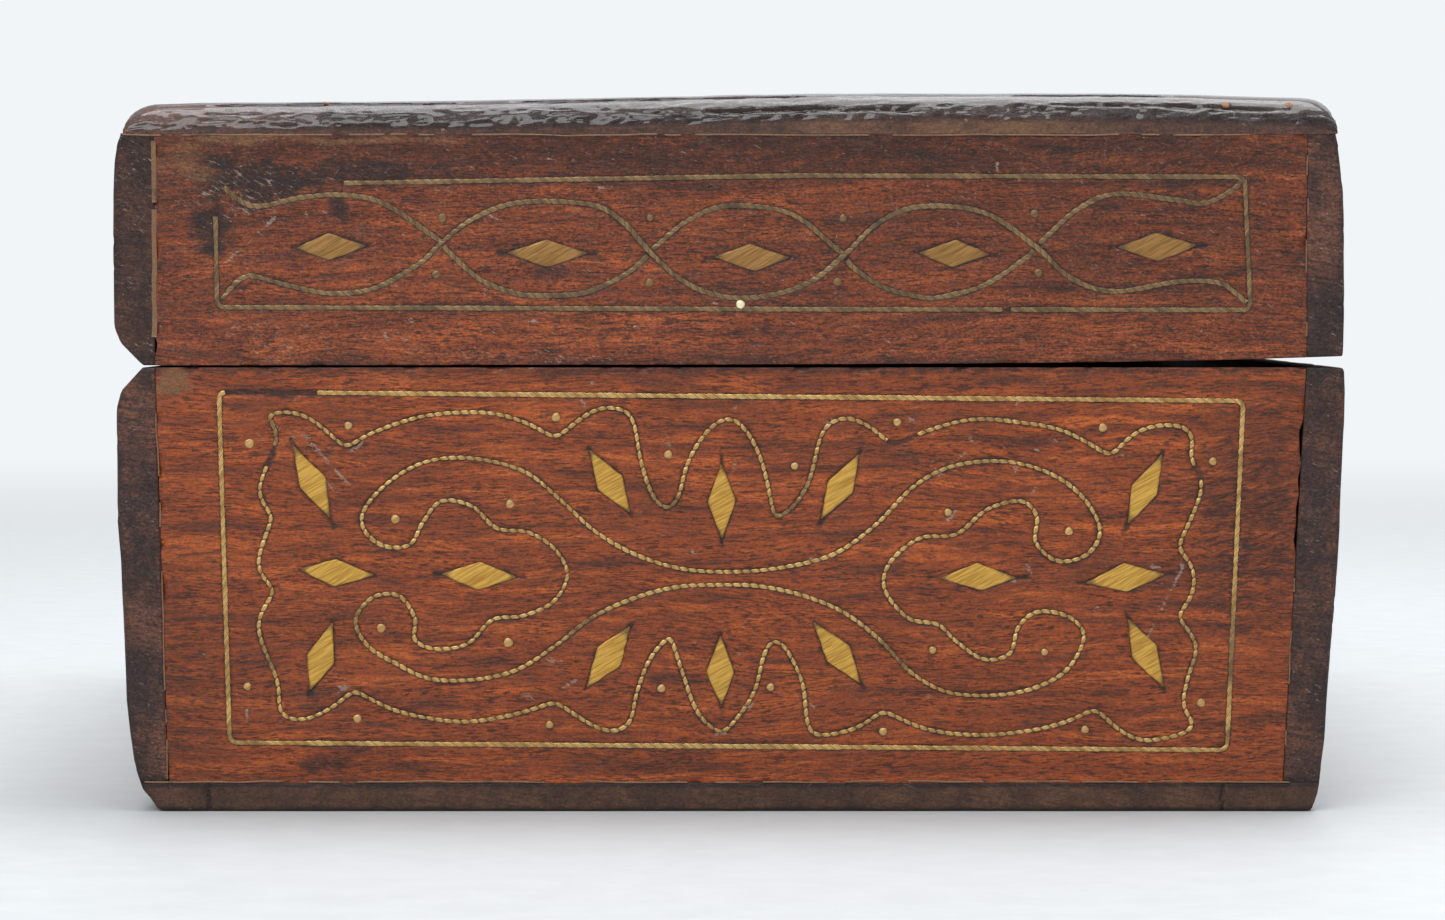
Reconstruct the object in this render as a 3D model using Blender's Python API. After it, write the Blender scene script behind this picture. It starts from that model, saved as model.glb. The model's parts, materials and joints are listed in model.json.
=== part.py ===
"""Inlaid wooden box with a hinged lid: boards, two brass hinges with their pins and screws, wooden pegs, and the
brass wires and plates let into the near end.

Sizes are in millimetres, and make_object scales them to metres. X runs from the hinged back (-) to the opening
front (+), Y along the box from the near end (-) to the far end (+), and Z up. The origin is on the table, under
the middle of the box. Outlines and inlay paths are (x, z) points, seen from the near end."""

import math

import bmesh
import bpy
from mathutils import Matrix, Vector

MM = 0.001

# The whole box.
LENGTH = 254.0
WIDTH = 178.0
HEIGHT = 104.5
HALF_LENGTH = LENGTH / 2
HALF_WIDTH = WIDTH / 2
RIM_Z = 64.8  # where the base and the lid meet, and the height of the hinge axis

# Boards and the clearances between them.
SIDE_THICKNESS = 5.3
END_THICKNESS = 5.5
BOTTOM_THICKNESS = 4.0
TOP_THICKNESS = 5.8
SEAM = 0.3
RIM_GAP = 0.15  # from the hinge axis to the rims on each side of it
BACK_LEAN = 1.7  # how far the base's back board leans in from its rim to its foot
FRONT_LEAN = 3.2
LID_SLOPE = 0.25  # how far the warped lid's rim rises evenly from the hinge to its front edge
LID_CURL = 1.1  # how far it curls up besides, nearly all of it close to the front edge
TOP_END_ROUNDING = 4.2

BASE_RIM = RIM_Z - RIM_GAP
WALL_FOOT = BOTTOM_THICKNESS + SEAM
TOP_UNDERSIDE = HEIGHT - TOP_THICKNESS
WALL_TOP = TOP_UNDERSIDE - SEAM
INNER_FACE = HALF_WIDTH - SIDE_THICKNESS  # of the front and back boards, at the rim
END_PANEL_HALF = INNER_FACE - SEAM
NEAR_FACE = -HALF_LENGTH

# Hinges. The axis runs along Y at the point of the V between the two chamfers.
HINGE_X = -85.7
HINGE_CENTRES = {"near": -75.0, "far": 75.0}
HINGE_LENGTH = 24.0
MIDDLE_KNUCKLE = 8.0
KNUCKLE_GAP = 0.3
BARREL_RADIUS = 1.35
BORE_RADIUS = 0.65
PIN_RADIUS = 0.6
LEAF_THICKNESS = 0.7
LEAF_OFFSET = 0.75  # from the axis to the leaf's hidden face
LEAF_HEIGHT = 10.9
SEAT_GAP = 0.3
BARREL_SIDES = 24
LEAF_FACE = HINGE_X + LEAF_OFFSET + LEAF_THICKNESS

# Hinge screws, by depth below the leaf's face.
SCREW_SPREAD = 7.5
SCREW_DROP = 6.6  # from the hinge axis to the screws
SCREW_HEAD_RADIUS = 1.25
SCREW_SHANK_RADIUS = 0.6
SCREW_HEAD_DEPTH = 0.75
SCREW_LENGTH = 3.1
SCREW_SLOT = 0.4
SCREW_GAP = 0.15
SCREW_SIDES = 14

# Pegs that hold the top board to the lid's near end panel.
PEG_PLACES = (18.1, 71.1, 80.2)
PEG_RADIUS = 0.8
PEG_DEPTH = 14.0
PEG_GAP = 0.15
PEG_Y = NEAR_FACE + 2.8
PEG_TOP = HEIGHT - 0.6

# Inlay.
WIRE_WIDTH = 0.87
WIRE_DEPTH = 0.8
INLAY_GAP = 0.15
WIRE_STEP = 3.4
PLATE_WIDTH = 4.0
PLATE_DEPTH = 0.8

BASE_BORDER = [(-74.4, 61.1), (74.5, 59.8), (72.3, 8.9), (-73.0, 10.0)]
LID_BORDER = [(-56.2, 91.4), (10.0, 92.5), (74.6, 92.3), (75.5, 73.0), (10.0, 73.1), (-74.6, 73.4), (-74.8, 87.0)]

# The cusped frame, one list for each lobe. Neighbouring lobes share the point of the cusp between them.
FRAME_LOBES = [
    [(-67.5, 57.7), (-64.5, 58.2), (-60.8, 57.0), (-56.0, 52.9)],
    [(-56.0, 52.9), (-52.0, 55.2), (-44.5, 57.6), (-35.8, 58.1), (-30.0, 56.7), (-25.5, 54.3)],
    [(-25.5, 54.3), (-20.1, 58.3), (-16.5, 58.7), (-14.3, 57.2), (-12.9, 50.3), (-11.1, 45.5), (-9.1, 43.9)],
    [(-9.1, 43.9), (-7.6, 45.8), (-6.3, 50.7), (-3.6, 55.2), (-0.4, 57.3), (2.3, 55.4), (4.6, 50.7), (6.4, 42.6)],
    [(6.4, 42.6), (8.9, 44.2), (11.4, 48.1), (13.4, 55.4), (16.6, 57.3), (20.1, 56.1), (23.6, 53.2)],
    [(23.6, 53.2), (28.4, 55.4), (35.1, 57.1), (41.8, 56.7), (48.5, 55.4), (55.3, 51.7)],
    [(55.3, 51.7), (58.5, 54.9), (62.0, 56.2), (65.9, 56.0), (67.2, 54.3), (66.9, 51.5), (68.5, 47.0), (65.0, 38.4)],
    [(65.0, 38.4), (67.2, 35.5), (67.2, 31.8), (65.0, 28.4)],
    [(65.0, 28.4), (67.8, 24.2), (66.6, 19.6), (65.9, 15.4), (67.3, 12.1), (61.2, 10.3), (57.3, 11.4), (53.1, 15.0)],
    [(53.1, 15.0), (48.5, 12.9), (42.6, 11.6), (35.5, 11.1), (28.4, 12.0), (22.2, 14.7)],
    [(22.2, 14.7), (18.0, 12.0), (12.3, 11.1), (11.1, 13.4), (10.4, 18.9), (7.8, 24.1), (5.9, 25.0)],
    [(5.9, 25.0), (4.7, 22.5), (3.4, 17.3), (0.1, 12.6), (-1.7, 11.5), (-4.9, 14.5), (-7.0, 20.2), (-8.8, 25.7)],
    [(-8.8, 25.7), (-11.7, 22.4), (-13.7, 17.3), (-14.9, 12.6), (-18.8, 11.9), (-25.6, 16.0)],
    [(-25.6, 16.0), (-30.4, 14.4), (-36.4, 13.2), (-41.6, 13.2), (-48.9, 14.7), (-54.9, 17.7)],
    [(-54.9, 17.7), (-58.0, 15.2), (-62.0, 13.4), (-65.5, 14.2), (-66.0, 18.9), (-68.8, 26.9), (-66.3, 32.2)],
    [(-66.3, 32.2), (-68.8, 36.0), (-66.6, 43.0)],
    [(-66.6, 43.0), (-68.6, 46.9), (-66.0, 54.3), (-67.5, 57.7)],
]

# The closed scroll inside it: clockwise from the middle of its upper line, with a curl near each corner.
SCROLL = [
    (0.2, 34.9), (-7.3, 35.4), (-14.0, 37.5), (-19.7, 40.8), (-24.9, 45.5), (-30.0, 49.5), (-37.3, 51.4),
    (-44.1, 51.0), (-49.6, 48.1), (-53.3, 44.0), (-53.3, 41.0), (-50.5, 38.7), (-46.7, 38.9), (-44.7, 42.3),
    (-42.1, 45.2), (-37.7, 44.5), (-34.1, 41.3), (-29.3, 40.6), (-25.5, 38.1), (-23.8, 34.4), (-25.9, 30.5),
    (-30.3, 28.5), (-34.7, 27.9), (-38.4, 24.4), (-43.2, 23.7), (-46.0, 25.1), (-46.0, 28.2), (-48.3, 31.4),
    (-52.1, 31.2), (-54.6, 27.9), (-52.8, 24.1), (-48.5, 21.4), (-43.7, 19.3), (-37.3, 19.2), (-31.2, 20.6),
    (-25.6, 24.1), (-20.1, 28.3), (-14.0, 31.1), (-7.8, 32.7), (-1.4, 33.0), (4.3, 32.8), (10.7, 31.4),
    (16.6, 28.9), (21.7, 25.0), (26.2, 20.3), (31.5, 17.4), (38.1, 16.9), (44.0, 17.9), (48.9, 20.6),
    (51.4, 25.4), (49.3, 28.3), (44.8, 29.1), (41.9, 26.9), (40.6, 23.0), (36.8, 22.2), (32.8, 24.8),
    (30.2, 27.2), (25.8, 28.2), (22.4, 32.4), (23.2, 36.3), (27.5, 39.8), (32.8, 40.4), (37.3, 44.0),
    (42.2, 45.2), (44.5, 43.0), (44.4, 39.2), (47.6, 36.5), (51.9, 37.5), (53.7, 41.1), (51.1, 45.9),
    (46.1, 49.4), (39.5, 51.0), (32.3, 50.3), (26.7, 47.4), (21.0, 41.7), (15.0, 37.5), (7.8, 35.6),
]

# The lid's two crossing waves. The second wire is cut where the first passes over it.
LID_WAVE = [
    (-72.4, 76.2), (-71.0, 77.6), (-69.2, 77.9), (-64.4, 76.6), (-58.0, 75.4), (-51.7, 76.2), (-45.3, 79.7),
    (-42.1, 82.7), (-37.3, 86.3), (-30.6, 88.6), (-20.4, 88.3), (-15.6, 85.7), (-11.7, 81.4), (-6.9, 77.2),
    (-1.4, 75.0), (5.0, 75.0), (11.4, 77.0), (16.6, 81.1), (21.4, 85.6), (27.5, 88.0), (36.8, 87.1),
    (44.4, 82.1), (49.3, 77.7), (55.6, 75.7), (64.9, 77.1), (70.7, 77.0), (73.0, 75.7),
]
LID_CROSS_WAVES = [
    [(-72.4, 89.8), (-70.4, 88.4), (-67.8, 88.1), (-62.4, 89.3), (-56.5, 89.7), (-50.5, 88.5), (-43.3, 83.8)],
    [(-40.9, 81.4), (-36.5, 77.5), (-31.2, 75.4), (-26.2, 75.1), (-20.9, 75.6), (-15.6, 78.0), (-13.1, 79.9)],
    [(-10.2, 82.8), (-6.5, 85.8), (-0.5, 88.1), (8.6, 87.0), (15.1, 82.1)],
    [(18.0, 79.0), (22.2, 76.3), (27.5, 74.9), (30.6, 74.9), (36.8, 76.6), (42.8, 80.5)],
    [(46.0, 83.8), (50.2, 87.5), (55.6, 89.8), (64.4, 89.0), (68.8, 88.5), (72.8, 90.4)],
]

# Lozenge plates: centre x, centre z, angle in degrees from +X, and length.
BASE_PLATES = [
    (-60.9, 48.0, -64, 12.0),
    (-17.6, 48.0, -58, 11.2),
    (-1.3, 45.1, -90, 11.2),
    (15.9, 47.2, 61, 11.5),
    (60.2, 46.9, 64, 11.5),
    (-57.4, 34.8, -4, 11.0),
    (-36.5, 34.4, -2, 11.3),
    (36.0, 34.1, 0, 11.6),
    (57.5, 34.0, 6, 11.8),
    (-59.6, 22.4, 72, 10.8),
    (-17.9, 22.4, 54, 11.1),
    (-1.4, 20.6, -89, 10.6),
    (15.6, 23.0, -53, 11.7),
    (60.4, 23.1, -63, 11.5),
]
LID_PLATES = [
    (-58.1, 82.2, 1, 10.7),
    (-26.7, 81.3, -1, 12.0),
    (3.1, 80.6, 0, 11.5),
    (32.5, 81.2, -2, 11.1),
    (62.0, 82.2, 1, 12.0),
]


# Materials.

def make_material(name, colour, roughness, metallic):
    """A Principled material of this linear colour."""
    material = bpy.data.materials.new(name)
    material.use_nodes = True
    shader = material.node_tree.nodes["Principled BSDF"]
    shader.inputs["Base Color"].default_value = (*colour, 1.0)
    shader.inputs["Roughness"].default_value = roughness
    shader.inputs["Metallic"].default_value = metallic
    material.diffuse_color = (*colour, 1.0)
    return material


LOOKS = {
    "panel": ((0.23, 0.08, 0.035), 0.45, 0.0),
    "end_grain": ((0.075, 0.045, 0.035), 0.6, 0.0),
    "top": ((0.12, 0.06, 0.045), 0.35, 0.0),
    "brass": ((0.45, 0.24, 0.06), 0.35, 0.9),
    "hinge_brass": ((0.40, 0.26, 0.09), 0.3, 0.9),
    "screw_steel": ((0.30, 0.28, 0.25), 0.4, 0.9),
    "peg": ((0.45, 0.30, 0.16), 0.7, 0.0),
}


# Mesh building.

def make_object(name, mesh_builder, look=None):
    """An object from a bmesh in millimetres. One without a look is a hidden cutter."""
    bmesh.ops.recalc_face_normals(mesh_builder, faces=mesh_builder.faces)
    bmesh.ops.scale(mesh_builder, vec=Vector((MM, MM, MM)), verts=mesh_builder.verts)
    mesh = bpy.data.meshes.new(name)
    mesh_builder.to_mesh(mesh)
    mesh_builder.free()
    made = bpy.data.objects.new(name, mesh)
    bpy.context.scene.collection.objects.link(made)
    if look is None:
        made.hide_render = True
        made.display_type = "WIRE"
    else:
        mesh.materials.append(make_material(name, *LOOKS[look]))
    return made


def add_loft(builder, sections):
    """Adds a closed solid through sections, which are lists of XYZ points of one length."""
    rings = [[builder.verts.new(point) for point in section] for section in sections]
    count = len(rings[0])
    for this, following in zip(rings, rings[1:]):
        for i in range(count):
            j = (i + 1) % count
            builder.faces.new((this[i], this[j], following[j], following[i]))
    builder.faces.new(rings[0])
    builder.faces.new(rings[-1])


def add_prism(builder, outline, low, high):
    """Adds a closed prism of an (x, z) outline between two depths along Y."""
    add_loft(builder, [[(x, depth, z) for x, z in outline] for depth in (low, high)])


def add_box(builder, low, high):
    outline = [(low[0], low[2]), (high[0], low[2]), (high[0], high[2]), (low[0], high[2])]
    add_prism(builder, outline, low[1], high[1])


def add_turned(builder, profile, sides, matrix):
    """Adds a solid turned about Z from (radius, height) pairs, low to high, moved by matrix."""
    sections = []
    for radius, height in profile:
        turns = [2 * math.pi * i / sides for i in range(sides)]
        sections.append([matrix @ Vector((radius * math.cos(a), radius * math.sin(a), height)) for a in turns])
    add_loft(builder, sections)


def along_y(x, y, z):
    """Turns a turned shape's Z towards +Y, and moves it to this place."""
    return Matrix.Translation((x, y, z)) @ Matrix.Rotation(-math.pi / 2, 4, "X")


def along_minus_x(x, y, z):
    """Turns a turned shape's Z towards -X, and moves it to this place."""
    return Matrix.Translation((x, y, z)) @ Matrix.Rotation(-math.pi / 2, 4, "Y")


def make_boolean(target, other, operation="DIFFERENCE"):
    modifier = target.modifiers.new(other.name, "BOOLEAN")
    modifier.operation = operation
    modifier.solver = "EXACT"
    modifier.object = other


def make_prism(name, outline, low, high, look):
    builder = bmesh.new()
    add_prism(builder, outline, low, high)
    return make_object(name, builder, look)


# Inlay paths and outlines.

def curve_point(before, start, end, after, t):
    """A point on the smooth (Catmull-Rom) curve between start and end."""
    return 0.5 * (
        2 * start
        + (end - before) * t
        + (2 * before - 5 * start + 4 * end - after) * t * t
        + (3 * start - before - 3 * end + after) * t * t * t
    )


def smooth_path(points, closed=False):
    """The points of a smooth curve through these ones, about WIRE_STEP apart."""
    points = [Vector(point) for point in points]
    count = len(points)
    path = []
    for i in range(count if closed else count - 1):
        if closed:
            before, start, end, after = (points[(i + k) % count] for k in (-1, 0, 1, 2))
        else:
            before, start, end, after = (points[min(max(i + k, 0), count - 1)] for k in (-1, 0, 1, 2))
        steps = max(1, round((end - start).length / WIRE_STEP))
        path += [curve_point(before, start, end, after, step / steps) for step in range(steps)]
    if not closed:
        path.append(points[-1])
    return path


def frame_path():
    """The lobes, each smooth, joined into one closed path that keeps the cusps sharp."""
    path = []
    for lobe in FRAME_LOBES:
        path += smooth_path(lobe)[:-1]
    return path


def offset_path(path, closed, offset):
    """The path moved to its left by offset, with mitred corners. An open path is also lengthened at its ends."""
    count = len(path)
    moved = []
    for i, point in enumerate(path):
        incoming = point - path[i - 1] if closed or i > 0 else path[1] - path[0]
        outgoing = path[(i + 1) % count] - point if closed or i < count - 1 else incoming
        first = incoming.normalized()
        second = outgoing.normalized()
        first_left = Vector((-first.y, first.x))
        second_left = Vector((-second.y, second.x))
        mitre = first_left + second_left
        moved.append(point + mitre * (2 * offset / mitre.length_squared))
    return moved


def add_ribbon(builder, path, closed, half_width, front, back, lengthen=0.0):
    """Adds a wire of rectangular section along the path, from depth front to depth back."""
    path = list(path)
    if not closed and lengthen:
        path[0] = path[0] + (path[0] - path[1]).normalized() * lengthen
        path[-1] = path[-1] + (path[-1] - path[-2]).normalized() * lengthen
    left = offset_path(path, closed, half_width)
    right = offset_path(path, closed, -half_width)
    corners = [(left, front), (right, front), (right, back), (left, back)]
    rings = []
    for i in range(len(path)):
        rings.append([builder.verts.new((side[i].x, depth, side[i].y)) for side, depth in corners])
    for i in range(len(path) if closed else len(path) - 1):
        this, following = rings[i], rings[(i + 1) % len(path)]
        for k in range(4):
            m = (k + 1) % 4
            builder.faces.new((this[k], this[m], following[m], following[k]))
    if not closed:
        builder.faces.new(rings[0])
        builder.faces.new(rings[-1])


def plate_outline(plate, gap=0.0):
    """The corners of a lozenge plate, or of its pocket when a gap is given."""
    x, z, degrees, length = plate
    half_length = length / 2
    half_width = PLATE_WIDTH / 2
    edge_distance = half_length * half_width / math.hypot(half_length, half_width)
    scale = (edge_distance + gap) / edge_distance
    along = Vector((math.cos(math.radians(degrees)), math.sin(math.radians(degrees))))
    across = Vector((-along.y, along.x))
    centre = Vector((x, z))
    arms = (along * half_length, across * half_width, -along * half_length, -across * half_width)
    return [tuple(centre + arm * scale) for arm in arms]


def make_inlay(panel, wires, plates, prefix):
    """Makes the wires and plates of one panel, and cuts their grooves and pockets. Returns the inlaid pieces."""
    grooves = bmesh.new()
    pieces = []
    front = NEAR_FACE
    for name, path, closed in wires:
        wire = bmesh.new()
        add_ribbon(wire, path, closed, WIRE_WIDTH / 2, front, front + WIRE_DEPTH)
        pieces.append(make_object(name, wire, "brass"))
        half_groove = WIRE_WIDTH / 2 + INLAY_GAP
        groove_back = front + WIRE_DEPTH + INLAY_GAP
        add_ribbon(grooves, path, closed, half_groove, front - 1.0, groove_back, lengthen=INLAY_GAP)
    for number, plate in enumerate(plates, 1):
        name = f"{prefix}_plate_{number:02d}"
        pieces.append(make_prism(name, plate_outline(plate), front, front + PLATE_DEPTH, "brass"))
        pocket_back = front + PLATE_DEPTH + INLAY_GAP
        add_prism(grooves, plate_outline(plate, INLAY_GAP), front - 1.0, pocket_back)
    make_boolean(panel, make_object(f"{prefix}_grooves", grooves))
    return pieces


# The base.

def lid_rim(x):
    """The height of the lid's lower rim at this x."""
    along = (x - HINGE_X) / (HALF_WIDTH - HINGE_X)
    return RIM_Z + RIM_GAP + LID_SLOPE * along + LID_CURL * along ** 6


def chamfer_at_axis():
    """How far from the hinge axis, in x or in z, the 45 degree chamfers start."""
    return RIM_GAP * math.sqrt(2)


def make_base():
    chamfer = HINGE_X + HALF_WIDTH
    rim_x = HINGE_X + chamfer_at_axis() - RIM_GAP
    back_foot = -INNER_FACE + BACK_LEAN
    front_foot = INNER_FACE - FRONT_LEAN
    chamfer_foot = RIM_Z - chamfer_at_axis() - chamfer
    back_outline = [
        (-HALF_WIDTH, chamfer_foot),
        (rim_x, BASE_RIM),
        (-INNER_FACE, BASE_RIM),
        (back_foot, WALL_FOOT),
        (-84.9, WALL_FOOT),
        (-86.6, 12.0),
        (-87.9, 24.0),
    ]
    front_outline = [
        (INNER_FACE, BASE_RIM),
        (HALF_WIDTH - 1.0, BASE_RIM),
        (HALF_WIDTH, BASE_RIM - 1.0),
        (HALF_WIDTH - FRONT_LEAN, WALL_FOOT),
        (front_foot, WALL_FOOT),
    ]
    end_outline = [
        (-END_PANEL_HALF, BASE_RIM),
        (END_PANEL_HALF, BASE_RIM),
        (front_foot - SEAM, WALL_FOOT),
        (back_foot + SEAM, WALL_FOOT),
    ]
    bottom_outline = [
        (-84.7, BOTTOM_THICKNESS),
        (-82.6, 1.6),
        (-79.5, 0.0),
        (82.8, 0.0),
        (85.0, 1.2),
        (HALF_WIDTH - FRONT_LEAN, BOTTOM_THICKNESS),
    ]
    back = make_prism("base_back_board", back_outline, -HALF_LENGTH, HALF_LENGTH, "end_grain")
    make_prism("base_front_board", front_outline, -HALF_LENGTH, HALF_LENGTH, "end_grain")
    make_prism("bottom_board", bottom_outline, -HALF_LENGTH, HALF_LENGTH, "end_grain")
    inside_end = HALF_LENGTH - END_THICKNESS
    near = make_prism("base_near_end_panel", end_outline, -HALF_LENGTH, -inside_end, "panel")
    make_prism("base_far_end_panel", end_outline, inside_end, HALF_LENGTH, "panel")
    wires = [
        ("base_border_wire", [Vector(point) for point in BASE_BORDER], True),
        ("base_frame_wire", frame_path(), True),
        ("base_scroll_wire", smooth_path(SCROLL, closed=True), True),
    ]
    make_inlay(near, wires, BASE_PLATES, "base")
    return back


# The lid.

def top_board_ceilings():
    """Pairs of y and the board's height there: its two ends are rounded over."""
    radius = TOP_END_ROUNDING
    rounding = []
    for degrees in (0, 30, 60, 90):
        turn = math.radians(degrees)
        rounding.append((HALF_LENGTH - radius * (1 - math.cos(turn)), HEIGHT - radius * (1 - math.sin(turn))))
    return [(-y, z) for y, z in rounding] + rounding[::-1]


def make_top_board():
    outline = [
        (-88.4, TOP_UNDERSIDE),
        (-87.6, 101.0),
        (-84.6, HEIGHT - 0.9),
        (-78.0, HEIGHT),
        (84.0, HEIGHT),
        (86.8, HEIGHT - 1.4),
        (87.7, TOP_UNDERSIDE),
    ]
    builder = bmesh.new()
    rings = []
    for y, ceiling in top_board_ceilings():
        rings.append([(x, y, min(z, ceiling)) for x, z in outline])
    add_loft(builder, rings)
    return make_object("lid_top_board", builder, "top")


def make_lid():
    """Returns the back board and all of the lid's pieces."""
    chamfer_top = RIM_Z + chamfer_at_axis() + HINGE_X + HALF_WIDTH
    rim_x = HINGE_X + chamfer_at_axis() - RIM_GAP
    back_outline = [
        (rim_x, RIM_Z + RIM_GAP),
        (-INNER_FACE, lid_rim(-INNER_FACE)),
        (-INNER_FACE, WALL_TOP),
        (-HALF_WIDTH + 0.4, WALL_TOP),
        (-HALF_WIDTH, 90.0),
        (-HALF_WIDTH, chamfer_top),
    ]
    front_outline = [
        (INNER_FACE, lid_rim(INNER_FACE)),
        (HALF_WIDTH - 0.6, lid_rim(HALF_WIDTH)),
        (HALF_WIDTH, lid_rim(HALF_WIDTH) + 0.6),
        (HALF_WIDTH, 86.0),
        (HALF_WIDTH - 1.2, WALL_TOP),
        (INNER_FACE, WALL_TOP),
    ]
    rim_places = [END_PANEL_HALF * share for share in (-1.0, 0.0, 0.4, 0.65, 0.85, 1.0)]
    end_outline = [(x, lid_rim(x)) for x in rim_places]
    end_outline += [(END_PANEL_HALF, WALL_TOP), (-END_PANEL_HALF, WALL_TOP)]
    back = make_prism("lid_back_board", back_outline, -HALF_LENGTH, HALF_LENGTH, "end_grain")
    front = make_prism("lid_front_board", front_outline, -HALF_LENGTH, HALF_LENGTH, "end_grain")
    inside_end = HALF_LENGTH - END_THICKNESS
    near = make_prism("lid_near_end_panel", end_outline, -HALF_LENGTH, -inside_end, "panel")
    far = make_prism("lid_far_end_panel", end_outline, inside_end, HALF_LENGTH, "panel")
    top = make_top_board()
    wires = [
        ("lid_border_wire", [Vector(point) for point in LID_BORDER], False),
        ("lid_wave_wire", smooth_path(LID_WAVE), False),
    ]
    for number, points in enumerate(LID_CROSS_WAVES, 1):
        wires.append((f"lid_cross_wire_{number}", smooth_path(points), False))
    inlay = make_inlay(near, wires, LID_PLATES, "lid")
    pegs = make_pegs(top, near)
    return back, [back, front, near, far, top, *inlay, *pegs]


def make_pegs(top, panel):
    """Makes the pegs, and drills the top board and the end panel for them."""
    drill = bmesh.new()
    pegs = []
    foot = PEG_TOP - PEG_DEPTH
    for number, x in enumerate(PEG_PLACES, 1):
        peg = bmesh.new()
        add_turned(peg, [(PEG_RADIUS, foot), (PEG_RADIUS, PEG_TOP)], 10, Matrix.Translation((x, PEG_Y, 0)))
        pegs.append(make_object(f"top_peg_{number}", peg, "peg"))
        hole = [(PEG_RADIUS + PEG_GAP, foot - PEG_GAP), (PEG_RADIUS + PEG_GAP, HEIGHT + 1.0)]
        add_turned(drill, hole, 10, Matrix.Translation((x, PEG_Y, 0)))
    holes = make_object("peg_holes", drill)
    make_boolean(top, holes)
    make_boolean(panel, holes)
    return pegs


# The hinges. side is -1 for the lower leaf, in the base, and 1 for the upper leaf, in the lid.

def knuckle_spans(side):
    half = HINGE_LENGTH / 2
    if side > 0:
        return [(-MIDDLE_KNUCKLE / 2, MIDDLE_KNUCKLE / 2)]
    inner = MIDDLE_KNUCKLE / 2 + KNUCKLE_GAP
    return [(-half, -inner), (inner, half)]


def make_barrel(name, centre, radius, spans):
    """A hidden cylinder along the hinge axis for each span of y."""
    builder = bmesh.new()
    for low, high in spans:
        add_turned(builder, [(radius, low), (radius, high)], BARREL_SIDES, along_y(HINGE_X, centre, RIM_Z))
    return make_object(name, builder)


def screw_places(centre, side):
    z = RIM_Z + side * SCREW_DROP
    return [(centre - SCREW_SPREAD, z), (centre + SCREW_SPREAD, z)]


def make_leaf(name, centre, side):
    """One leaf with its knuckles, bored for the pin and countersunk for its screws."""
    half = HINGE_LENGTH / 2
    ends = sorted((RIM_Z + side * 0.2, RIM_Z + side * LEAF_HEIGHT))
    plate = bmesh.new()
    hidden_face = HINGE_X + LEAF_OFFSET
    add_box(plate, (hidden_face, centre - half, ends[0]), (LEAF_FACE, centre + half, ends[1]))
    leaf = make_object(name, plate, "hinge_brass")
    others = knuckle_spans(-side)
    widened = [(low - KNUCKLE_GAP, high + KNUCKLE_GAP) for low, high in others]
    make_boolean(leaf, make_barrel(f"{name}_clearance", centre, BARREL_RADIUS + SEAT_GAP, widened))
    make_boolean(leaf, make_barrel(f"{name}_knuckles", centre, BARREL_RADIUS, knuckle_spans(side)), "UNION")
    make_boolean(leaf, make_barrel(f"{name}_bore", centre, BORE_RADIUS, [(-half - 1, half + 1)]))
    sinks = bmesh.new()
    mouth = SCREW_HEAD_RADIUS + 2 * SCREW_GAP
    neck = SCREW_SHANK_RADIUS + SCREW_GAP
    for y, z in screw_places(centre, side):
        profile = [(mouth, -0.2), (neck, LEAF_THICKNESS), (neck, LEAF_THICKNESS + 1.0)]
        add_turned(sinks, profile, SCREW_SIDES, along_minus_x(LEAF_FACE, y, z))
    make_boolean(leaf, make_object(f"{name}_countersinks", sinks))
    return leaf


def make_screw(name, y, z):
    """A slotted countersunk screw, driven towards -X."""
    profile = [
        (SCREW_HEAD_RADIUS, 0.1),
        (SCREW_SHANK_RADIUS, SCREW_HEAD_DEPTH),
        (SCREW_SHANK_RADIUS, SCREW_LENGTH - 0.5),
        (0.15, SCREW_LENGTH),
    ]
    body = bmesh.new()
    add_turned(body, profile, SCREW_SIDES, along_minus_x(LEAF_FACE, y, z))
    screw = make_object(name, body, "screw_steel")
    slot = bmesh.new()
    reach = SCREW_HEAD_RADIUS + 0.5
    low = (LEAF_FACE - 0.4, y - reach, z - SCREW_SLOT / 2)
    high = (LEAF_FACE + 0.5, y + reach, z + SCREW_SLOT / 2)
    add_box(slot, low, high)
    make_boolean(screw, make_object(f"{name}_slot", slot))
    return screw


def cut_hinge_seat(board, name, centre, side):
    """Cuts a board for the barrel, the leaf and its screws."""
    half = HINGE_LENGTH / 2 + SEAT_GAP
    make_boolean(board, make_barrel(f"{name}_seat", centre, BARREL_RADIUS + SEAT_GAP, [(-half, half)]))
    ends = sorted((RIM_Z - side * 1.5, RIM_Z + side * (LEAF_HEIGHT + SEAT_GAP)))
    mortise = bmesh.new()
    deepest = HINGE_X + LEAF_OFFSET - SEAT_GAP
    add_box(mortise, (deepest, centre - half, ends[0]), (LEAF_FACE + 3.0, centre + half, ends[1]))
    make_boolean(board, make_object(f"{name}_mortise", mortise))
    holes = bmesh.new()
    radius = SCREW_SHANK_RADIUS + SCREW_GAP
    for y, z in screw_places(centre, side):
        profile = [(radius, 0.0), (radius, SCREW_LENGTH + SEAT_GAP)]
        add_turned(holes, profile, SCREW_SIDES, along_minus_x(LEAF_FACE, y, z))
    make_boolean(board, make_object(f"{name}_screw_holes", holes))


def make_pin(name, centre):
    half = HINGE_LENGTH / 2
    builder = bmesh.new()
    profile = [(PIN_RADIUS, -half), (PIN_RADIUS, half)]
    add_turned(builder, profile, BARREL_SIDES, along_y(HINGE_X, centre, RIM_Z))
    return make_object(name, builder, "hinge_brass")


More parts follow.
